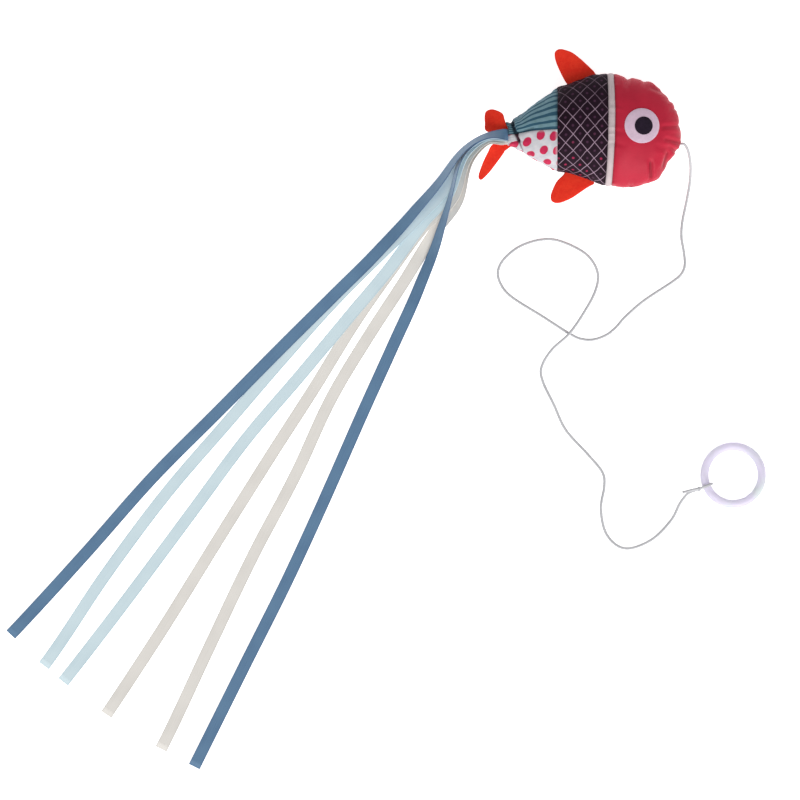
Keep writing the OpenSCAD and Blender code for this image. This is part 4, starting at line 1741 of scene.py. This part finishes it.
@dataclass
class Fins:
    """The back and belly fins and the two tail lobes."""

    form: FishForm
    felt: float = 2 * MM
    play: float = 0.3 * MM
    chord: float = 0.94
    dorsal: tuple[float, float, float] = (15.5 * MM, 16 * MM, 23.35 * MM)
    pelvic: tuple[float, float, float] = (14.8 * MM, 14.5 * MM, 24.5 * MM)
    upper_lobe: tuple[float, float] = (11 * MM, 12.7 * MM)
    lower_lobe: tuple[float, float] = (14.1 * MM, 22.25 * MM)
    dorsal_shares: Sequence[tuple[float, float]] = (
        (0.99, 0), (0.77, 0.41), (0.63, 0.635), (0.48, 0.82), (0.2, 1),
        (0, 0.96), (-0.07, 0.72), (-0.05, 0.34), (0, 0))
    pelvic_shares: Sequence[tuple[float, float]] = (
        (1.09, -0.02), (0.93, 0.14), (0.76, 0.355), (0.52, 0.66), (0.25, 0.905), (0.04, 1),
        (-0.12, 0.96), (-0.19, 0.8), (-0.19, 0.57), (-0.14, 0.27), (0, 0))
    upper_lobe_shares: Sequence[tuple[float, float]] = (
        (0, 0.35), (0.08, 0.6), (0.19, 0.85), (0.55, 1), (0.79, 0.996),
        (0.95, 0.905), (1, 0.736), (0.99, 0.48), (0.9, 0.13), (0, 0.01))
    lower_lobe_shares: Sequence[tuple[float, float]] = (
        (0, 0.01), (0.5, 0.21), (0.67, 0.393), (0.84, 0.613), (0.96, 0.82), (1, 0.935),
        (0.96, 1), (0.86, 1), (0.67, 0.885), (0.51, 0.765), (0.31, 0.595), (0.11, 0.42),
        (0, 0.28))

    @property
    def tail_hinge(self) -> float:
        """Where the tail folds."""
        return self.form.tail_end - self.play - self.felt / 2

    def root(self, setback: float, length: float, side: int) -> tuple[Vector, Vector, Vector]:
        """Finds where a fin's root lies along the body's edge.

        Args:
            setback: how far its back end is behind the head's seam.
            length: the length of the root.
            side: 1 for the back, -1 for the belly.

        Returns:
            The back end of the root, the direction along it and the direction out of it.
        """
        back = self.form.edge(self.form.head_x - setback, side)
        front = self.form.edge(self.form.head_x - setback + length * self.chord, side)
        way = (front - back).normalized()
        out = Vector((-way.y, way.x)) * side
        bulge = max((self.form.edge(back.x + (front.x - back.x) * i / 8, side) - back).dot(out)
                    for i in range(1, 8))
        return back + out * (bulge + self.felt / 2 + self.play), way, out

    def build(self) -> None:
        """Makes the four pieces of felt."""
        height = self.form.rest_height
        free = self.felt / 2 + self.play
        for name, shares, (length, reach, setback), side, body, front in (
                ("dorsal_fin", self.dorsal_shares, self.dorsal, 1, Body.BACK_FIN, 1.04),
                ("pelvic_fin", self.pelvic_shares, self.pelvic, -1, Body.BELLY_FIN, 1.06)):
            place, way, out = self.root(setback, length, side)
            FeltFlap(name, shares, (length, reach), place, way, out, body, 3.2 * MM,
                     (0.06, front), (-free, 1.0 * MM)).build(height)
        station = self.form.rear(self.form.tail_end, Zone.TAIL)
        place = Vector((self.tail_hinge, station.middle))
        for name, shares, (back, tall), side in (
                ("tail_lobe_upper", self.upper_lobe_shares, self.upper_lobe, 1),
                ("tail_lobe_lower", self.lower_lobe_shares, self.lower_lobe, -1)):
            turned = [(y, x) for x, y in shares]
            span = (0.04, 0.3) if side > 0 else (0.02, 0.17)
            FeltFlap(name, turned, (tall, back), place, Vector((0, side)), Vector((-1, 0)),
                     Body.TAIL, 5.0 * MM, span, (-free - 0.6 * MM, 1.2 * MM),
                     curl=0.0004).build(height)


# --- Ribbons ---


@dataclass(frozen=True)
class RibbonLay:
    """How one ribbon lies: its direction from the tail, how many ribbons lie under it,
    how far it is turned on edge, which of its edges keeps its place there, and how far
    aside it lies at the neck."""

    name: str
    finish: Finish
    angles: Sequence[float]
    places: Sequence[float]
    turns: Sequence[float]
    lean: float
    aside: float = 0.0


@dataclass
class Ribbons:
    """The six ribbons that are sewn into the tail's end."""

    form: FishForm
    hinge: float
    width: float = 6 * MM
    thick: float = 0.3 * MM
    pitch: float = 0.45 * MM
    reach: float = 353 * MM
    setback: float = 2.5 * MM
    fall: float = 62 * MM
    lobe_back: float = 11 * MM
    felt: float = 2 * MM
    gap: float = 0.15 * MM
    inside: float = 2.5 * MM
    limp: tuple[float, float] = (8 * MM, 36 * MM)
    neck_pitch: float = 0.3 * MM
    neck_steps: int = 8
    steps: int = 190
    length: float = 0.36
    aside_reach: tuple[float, float] = (3 * MM, 9 * MM)
    lays: Sequence[RibbonLay] = (
        RibbonLay("ribbon_blue_upper", Finishes.BLUE,
                  (0, 1, 6, 18.5, 33.4, 39.1, 41.6, 42.45, 43, 43.5, 43.8, 44.6, 45.05),
                  (5, 5, 5, 5, 5, 4.4, 4, 2.8, 1.3, 1, 0.4, 0, 0),
                  (0, 25, 58, 66, 52, 31, 8, 0, 0, 0, 0, 0, 0), -0.4),
        RibbonLay("ribbon_pale_upper", Finishes.PALE,
                  (0, 1, 6, 19, 39, 42.2, 42.8, 43.4, 44.5, 45.5, 46.2, 47.4, 48.75),
                  (4, 4, 4, 4, 4, 3, 3, 1.6, 0, 0, 0, 0, 0),
                  (0, 25, 54, 56, 34, 14, 0, 0, 0, 0, 0, 0, 0), -0.3),
        RibbonLay("ribbon_pale_lower", Finishes.PALE,
                  (0, 1.5, 7, 22.6, 42.9, 45.5, 48, 48.6, 49, 49.1, 49.9, 50.5, 50.8),
                  (2, 2, 2, 2, 2, 2, 2, 1.9, 0.6, 0, 0, 0, 0),
                  (0, 25, 54, 56, 34, 14, 0, 0, 0, 0, 0, 0, 0), 0.0, 0.5 * MM),
        RibbonLay("ribbon_cream_upper", Finishes.CREAM,
                  (0, 2, 8, 26, 47, 46.9, 48.8, 50.45, 52.3, 53.35, 54.2, 54.9, 55.2),
                  (1, 1, 1, 1, 1, 1, 1, 0.9, 0, 0, 0, 0, 0),
                  (0, 25, 54, 54, 34, 14, 0, 0, 0, 0, 0, 0, 0), 0.7, 1.5 * MM),
        RibbonLay("ribbon_cream_lower", Finishes.CREAM,
                  (0, 3, 9.5, 28.5, 50.5, 52.4, 54.3, 55, 55.9, 57.8, 58.65, 59.65, 60.45),
                  (0,) * 13,
                  (0, 25, 54, 54, 34, 14, 0, 0, 0, 0, 0, 0, 0), 1.0, 2.0 * MM),
        RibbonLay("ribbon_blue_lower", Finishes.BLUE,
                  (0, 1, 6, 21.7, 45.2, 55.5, 59.5, 61.15, 62.2, 63.05, 63.5, 63.5, 63.5),
                  (3, 3, 3, 3, 5.5, 5, 1.2, 0, 0, 0, 0, 0, 0),
                  (0, 25, 58, 69, 73, 46, 20, 0, 0, 0, 0, 0, 0), -0.4),
    )

    @property
    def tail(self) -> Vector:
        """The point that the ribbons spread from, seen from above."""
        return Vector((self.form.tail_end, self.form.rear(self.form.tail_end, Zone.TAIL).middle))

    @property
    def first(self) -> float:
        """The distance from the tail's end at which a ribbon is free."""
        return self.form.tail_end - self.hinge + self.setback

    def spot(self, lay: RibbonLay, radius: float) -> Vector:
        """Gives the middle of a ribbon at a distance from the tail, seen from above."""
        turn = math.radians(along(lay.angles, math.sqrt(max(radius, 0.0) / self.reach)))
        return self.tail - Vector((math.cos(turn), math.sin(turn))) * radius

    def bed(self, lay: RibbonLay, place: Vector, turn: float) -> float:
        """Gives the height of a ribbon's underside over a place.

        Args:
            lay: how the ribbon lies.
            place: the place, seen from above.
            turn: how far it is turned on edge there.

        Returns:
            The height.
        """
        radius = (place - self.tail).length
        fallen = ease((radius - self.lobe_back - self.felt) / self.fall)
        floor = self.form.rest_height + self.felt / 2 + self.gap
        under = max(0.0, along(lay.places, math.sqrt(radius / self.reach)))
        return floor * (1 - fallen) + self.pitch * under / math.cos(turn)

    def stations(self, lay: RibbonLay) -> list[tuple[Vector, float]]:
        """Gives the ribbon's middle line, from inside the tail to its cut end.

        Args:
            lay: how the ribbon lies.

        Returns:
            For each place, the point seen from above and how far it is drawn into the neck.
        """
        out = []
        for i in range(self.neck_steps):
            share = i / self.neck_steps
            back = self.first * share - self.inside * (1 - share)
            out.append((self.tail - Vector((back, 0)), ease((self.first - back) / 0.006)))
        for i in range(self.steps + 1):
            u = i / self.steps
            radius = self.first + (self.reach - self.first) * (0.35 * u + 0.65 * u * u)
            out.append((self.spot(lay, radius), 0.0))
        return out

    def build(self) -> None:
        """Makes the ribbons."""
        for lay in self.lays:
            self.ribbon(lay)

    def ribbon(self, lay: RibbonLay) -> None:
        """Makes one ribbon.

        Args:
            lay: how it lies.
        """
        stations = self.stations(lay)
        last, half = len(stations) - 1, self.width / 2
        across = [-1.0, -0.93, -0.5, 0.0, 0.5, 0.93, 1.0]
        section = [(a, 1.0) for a in across] + [(a, 0.0) for a in reversed(across)]
        height, (start, fall) = self.form.rest_height, self.aside_reach
        neck = height + self.felt / 2 + lay.places[0] * self.neck_pitch
        rows, middles = [], []
        for i, (place, drawn) in enumerate(stations):
            way = (stations[min(i + 1, last)][0] - stations[max(i - 1, 0)][0]).normalized()
            side = Vector((-way.y, way.x))
            radius = (place - self.tail).length
            edge_on = max(0.0, along(lay.turns, math.sqrt(radius / self.reach)))
            turn = math.radians(edge_on) * (1 - drawn)
            flat, steep = math.cos(turn), math.sin(turn)
            aside = lay.aside * (1 - ease((radius - start) / fall))
            lean = lay.lean * half * (1 - flat) + aside
            row = []
            for share, top in section:
                off = share * half * (1 - 0.12 * drawn)
                spot = place + side * (off * flat + lean)
                low = self.bed(lay, spot, turn) * (1 - drawn) + (neck - drawn * 0.5 * MM) * drawn
                low += (off + half) * steep - drawn * 0.9 * MM * share * share
                spot -= side * (top * self.thick * steep)
                row.append((spot.x, spot.y, low + top * self.thick * flat))
            rows.append(row)
            middles.append((place.x, place.y, sum(p[2] for p in row) / len(row)))
        count, line = len(section), Line(middles)
        mesh = Grid(len(rows), count + 1).wrap(
            lambda i, j: rows[i][j % count],
            lambda i, j: (section[j % count][0] * self.width / 2 / MM, line.travelled[i] / MM))
        made = Piece(lay.name, lay.finish, None).build(mesh).made
        start, end = ((self.hinge - back, self.tail.y, height) for back in self.limp)
        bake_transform(made, Body.TAIL.value, Body.ROOT.value, start=start, end=end)
        self.tail.x
        self.tail.y


# --- The string and what is tied on it ---


@dataclass
class String:
    """The elastic string, its stopper, its knot and its loop round the ring."""

    form: FishForm
    cord: float = 1.2 * MM
    full: float = 1.42 * MM
    exit_drop: float = 4.7 * MM
    lead: float = 1.0 * MM
    ring_radius: float = 14.4 * MM
    ring_bar: float = 4.2 * MM
    knot_radius: float = 1.25 * MM
    cut_end: float = 6.75 * MM
    play: float = 0.3 * MM
    loop_play: float = 0.15 * MM
    patch_gap: float = 0.1 * MM
    heading: float = math.radians(22)
    cut_heading: float = math.radians(10.5)
    stopper: float = 2.2 * MM
    stopper_depth: float = 9 * MM
    spacing: float = 0.2 * MM
    length: float = 0.464
    reach: tuple[float, float] = (7.68, -172.9)
    route: Sequence[Point] = (
        (1.2, 0, 15.9), (2.5, -1.5, 15.2), (3.6, -4.1, 13.7), (4.45, -8, 10.8),
        (4.85, -13, 6.8), (4.4, -20, 2.8), (2.9, -28.8, 0.6), (1, -38, 0), (0.4, -46, 0),
        (1.7, -54.4, 0), (2.1, -60.4, 0), (0.2, -65, 0), (-4.6, -69, 0),
        (-18.2, -78, 0), (-27.7, -86.2, 0), (-32.1, -91.2, 0), (-36.7, -95, 0),
        (-43.2, -97.5, 0), (-49.7, -97.3, 0), (-56.2, -94.3, 0), (-69.2, -86, 0),
        (-84.7, -76.2, 0), (-90.2, -69.5, 0), (-91.4, -63.3, 0), (-88.3, -57.2, 0),
        (-80.6, -51, 0), (-70, -47.6, 0), (-60, -48.4, 0), (-47.4, -54.8, 0),
        (-41.6, -63.8, 0), (-42.6, -73, 0.4), (-48.4, -84, 1.3), (-55.8, -94.6, 1.5),
        (-64.6, -102.8, 0.8), (-69.6, -111.4, 0), (-69, -118.6, 0), (-63.3, -130.6, 0),
        (-57.4, -143, 0), (-46.2, -155.4, 0), (-39.2, -164, 0), (-38.2, -171, 0),
        (-39.9, -182, 0), (-37.8, -193.6, 0), (-32, -200.6, 0), (-24.6, -202, 0),
        (-13.7, -197.2, 0), (-4.6, -187.8, 0), (-0.4, -179.7, 0.4), (3.6, -174.7, 1.6))

    @property
    def leaves(self) -> Vector:
        """The place where the string leaves the nose."""
        return Vector((self.form.head_x + self.form.head_len + self.lead / 2,
                       -self.form.nose_drop - self.exit_drop, self.form.rest_height))

    @property
    def loop_radius(self) -> float:
        """The radius of the loop round the ring's bar."""
        return self.ring_bar / 2 + self.cord / 2 + self.loop_play

    @property
    def knot_height(self) -> float:
        """The height of the knot above the floor."""
        return self.loop_radius + self.cord / 2 + self.patch_gap

    @property
    def way(self) -> Vector:
        """The direction from the knot to the ring."""
        return Vector((math.cos(self.heading), math.sin(self.heading), 0))

    @property
    def end(self) -> Vector:
        """The place where the string reaches the knot."""
        place = self.leaves + Vector((*self.reach, 0)) * MM
        return Vector((place.x, place.y, self.knot_height))

    @property
    def knot(self) -> Vector:
        """The middle of the knot."""
        return self.end + self.way * (self.knot_radius + self.play)

    @property
    def bar(self) -> Vector:
        """The middle of the ring's bar where the loop holds it."""
        return self.knot + self.way * (self.loop_radius + self.knot_radius)

    def line(self) -> Line:
        """Gives the string's middle line, smooth and evenly spaced.

        Returns:
            The line.
        """
        start = self.leaves
        corners = [start]
        corners += [start + Vector((x, y, 0)) * MM for x, y, _ in self.route]
        for corner, (_, _, gap) in zip(corners[1:], self.route):
            corner.z = gap * MM + self.full / 2
        corners += [self.end, self.knot]
        last = len(corners) - 1
        fine = []
        for i in range(last):
            around = [corners[k] for k in (max(i - 1, 0), i, i + 1, min(i + 2, last))]
            fine += [curve(*around, step / 24) for step in range(24)]
        fine.append(corners[-1])
        for place in fine:
            place.z = max(place.z, self.full / 2)
        return Line(fine).evenly(self.spacing)

    def braid(self, angle: float, travelled: float) -> float:
        """Gives the cord's radius where its strands cross.

        Args:
            angle: the place round the cord.
            travelled: the distance along it.

        Returns:
            The radius.
        """
        turn = travelled / (0.62 * MM)
        bulge = math.sin(3 * angle + turn) * math.sin(3 * angle - turn)
        return self.full / 2 * (0.955 + 0.045 * bulge)

    def build(self) -> None:
        """Makes the string first, and then the pieces that are tied on it."""
        line = self.line()
        string = self.piece("string", tube(line, self.braid, 12))
        tied = [self.piece("string_knot", self.wound(self.knot, self.knot_radius, 0.5 * MM,
                                                     self.way), Body.RING_TIE),
                self.piece("string_loop", self.loop(), Body.RING_TIE),
                self.piece("string_cut_end", self.cut())]
        self.piece("string_anchor", self.anchor())

    def piece(self, name: str, mesh: Mesh,
              body: Body = Body.ROOT) -> bpy.types.Object:
        """Makes one piece of the elastic."""
        return Piece(name, Finishes.STRING, body).build(mesh).made

    def wound(self, centre: Vector, size: float, strand: float, way: Vector) -> Mesh:
        """Makes a tight overhand knot.

        Args:
            centre: the middle of the knot.
            size: its radius.
            strand: the cord's radius in it.
            way: the direction in which the cord goes through it.

        Returns:
            The mesh.
        """
        side = way.cross(Vector((0, 0, 1))).normalized()
        top = side.cross(way)
        scale = (size - strand) / 3
        steps, places = 150, []
        for i in range(steps + 1):
            t = CIRCLE * i / steps
            a, b = math.sin(t) + 2 * math.sin(2 * t), math.cos(t) - 2 * math.cos(2 * t)
            c = -math.sin(3 * t)
            places.append(centre + (side * a + top * b + way * c * 1.15) * scale)
        return tube(Line(places),
                    lambda angle, run: strand * self.braid(angle, run) / (self.cord / 2), 12)

    def loop(self) -> Mesh:
        """Makes the loop that goes from the knot round the ring's bar and back.

        Returns:
            The mesh.
        """
        radius, strand = self.loop_radius, self.cord / 2
        open_half, steps, up = math.radians(34), 60, Vector((0, 0, 1))
        start = self.knot + self.way * 0.5 * MM
        places = []
        for i in range(steps + 1):
            angle = math.pi - open_half - (CIRCLE - 2 * open_half) * i / steps
            places.append(self.bar + self.way * math.cos(angle) * radius
                          + up * math.sin(angle) * radius)
        lead, trail = [], []
        for i in range(6):
            lift = up * 0.35 * MM * (1 - i / 6)
            lead.append(start.lerp(places[0], i / 6) + lift)
            trail.insert(0, start.lerp(places[-1], i / 6) - lift)
        line = Line(lead + places + trail).evenly(0.25 * MM)
        return tube(line, lambda a, s: self.braid(a, s) * strand / (self.cord / 2), 12)

    def cut(self) -> Mesh:
        """Makes the cut end that stands out of the knot, a little frayed.

        Returns:
            The mesh.
        """
        away = Vector((-math.cos(self.cut_heading), -math.sin(self.cut_heading), 0))
        aside = away.cross(Vector((0, 0, 1)))
        steps, places = 12, []
        for i in range(steps + 1):
            share = i / steps
            lift = self.cord * ease(share / 0.25) - self.knot_height * 0.62 * ease(share / 1.1)
            places.append(self.knot + away * (self.cut_end + 1.6 * MM) * share
                          + Vector((0, 0, lift)) + aside * 0.2 * MM * math.sin(share * 5))
        line = Line(places).evenly(0.2 * MM)

        def radius(angle: float, run: float) -> float:
            """Widens the cord at its cut end.

            Args:
                angle: the place round the cord.
                run: the distance along it.

            Returns:
                The radius.
            """
            near = max(0.0, 1 - (line.length - run) / (1.2 * MM))
            fray = 0.5 + 0.5 * math.sin(7 * angle)
            return self.braid(angle, run) * (1 + near * (0.25 * fray - 0.05))

        return tube(line, radius, 16)

    def anchor(self) -> Mesh:
        """Makes the stopper knot inside the head and the stub through the seam.

        Returns:
            The mesh.
        """
        back = self.leaves - Vector((self.stopper_depth, 0, 0))
        mesh = self.wound(back, self.stopper, 0.62 * MM, Vector((1, 0, 0)))
        stub = kept("stub", tube(Line([back, self.leaves]).evenly(0.3 * MM), self.braid, 12))
        mesh.from_mesh(stub)
        bpy.data.meshes.remove(stub)
        return mesh


@dataclass
class FingerRing:
    """The moulded ring, with a fine line where the two halves of its mould met."""

    string: String
    sides: int = 40
    steps: int = 160
    flash: float = 0.07 * MM

    @property
    def tilt(self) -> float:
        """The angle by which the ring leans on the loop under it."""
        return math.asin((self.string.knot_height - self.string.ring_bar / 2)
                         / (2 * self.string.ring_radius))

    def build(self) -> None:
        """Spins the bar's section round the ring's axis."""
        bar, radius = self.string.ring_bar / 2, self.string.ring_radius
        mesh = bmesh.new()
        made = bmesh.ops.create_circle(mesh, cap_ends=False, radius=bar, segments=self.sides)
        for vert in made["verts"]:
            angle = math.atan2(vert.co.y, vert.co.x)
            ridge = self.flash * math.exp(-(math.sin(angle) / 0.09) ** 2)
            reach = bar - self.flash + ridge
            vert.co = Vector((radius + reach * math.cos(angle), 0, reach * math.sin(angle)))
        bmesh.ops.spin(mesh, geom=mesh.verts[:] + mesh.edges[:], cent=(0, 0, 0), axis=(0, 0, 1),
                       angle=CIRCLE, steps=self.steps, use_merge=True)
        bmesh.ops.remove_doubles(mesh, verts=mesh.verts, dist=1e-6)
        bmesh.ops.recalc_face_normals(mesh, faces=mesh.faces)
        way, tilt = self.string.heading, self.tilt
        centre = self.string.bar + Vector((math.cos(way) * math.cos(tilt),
                                           math.sin(way) * math.cos(tilt),
                                           -math.sin(tilt))) * radius
        place = (Matrix.Translation(centre) @ Matrix.Rotation(way, 4, "Z")
                 @ Matrix.Rotation(tilt, 4, "Y"))
        bmesh.ops.transform(mesh, matrix=place, verts=mesh.verts)
        Piece("finger_ring", Finishes.RING, Body.RING).build(mesh)


# --- The studio ---


@dataclass
class Studio:
    """The camera above the toy, the light and the pale floor."""

    middle: tuple[float, float] = (-91 * MM, -135 * MM)
    view: float = 0.4
    lens: float = 500.0
    sensor: float = 36.0
    height: float = 0.008
    floor: float = 6.0
    sky: float = 0.54
    sun: float = 2.35
    sun_height: float = math.radians(36)
    sun_heading: float = math.radians(-82)
    sun_width: float = math.radians(50)

    def place_camera(self) -> None:
        """Puts the camera straight above the middle of the picture."""
        data = bpy.data.cameras.new("camera")
        data.lens, data.sensor_width = self.lens, self.sensor
        data.clip_start, data.clip_end = 0.01, 50.0
        camera = stand("camera", data)
        camera.location = (*self.middle, self.height + self.view * self.lens / self.sensor)
        bpy.context.scene.camera = camera

    def light(self) -> None:
        """Adds soft light from all round and a broad lamp at the foot of the picture."""
        scene = bpy.context.scene
        scene.view_settings.view_transform = "Standard"
        scene.world = bpy.data.worlds.new("soft_light")
        scene.world.use_nodes = True
        sky = scene.world.node_tree.nodes["Background"]
        sky.inputs["Color"].default_value = (1.0, 1.0, 1.0, 1.0)
        sky.inputs["Strength"].default_value = self.sky
        data = bpy.data.lights.new("lamp", "SUN")
        data.energy, data.angle = self.sun, self.sun_width
        reach = math.cos(self.sun_height)
        source = Vector((math.cos(self.sun_heading) * reach, math.sin(self.sun_heading) * reach,
                         math.sin(self.sun_height)))
        stand("lamp", data).rotation_euler = source.to_track_quat("Z", "Y").to_euler()

    def lay_floor(self) -> None:
        """Lays the floor under the toy."""
        mesh = bmesh.new()
        bmesh.ops.create_grid(mesh, x_segments=8, y_segments=8, size=self.floor)
        bmesh.ops.translate(mesh, verts=mesh.verts, vec=(0, 0, -0.0002))
        data = kept("floor", mesh)
        data.materials.append(Finishes.FLOOR.material())
        stand("floor", data)


def main() -> None:
    """Builds the studio and the toy."""
    logging.basicConfig(level=logging.INFO, format="%(name)s: %(message)s")
    studio = Studio()
    studio.place_camera()
    form = FishForm()
    string = String(form)
    string.build()
    fins = Fins(form)
    Ribbons(form, fins.tail_hinge).build()
    FingerRing(string).build()
    body = SewnBody(form)
    body.build()
    Eyes(form).build(body.head)
    fins.build()
    studio.light()
    studio.lay_floor()


if __name__ == "__main__":
    main()
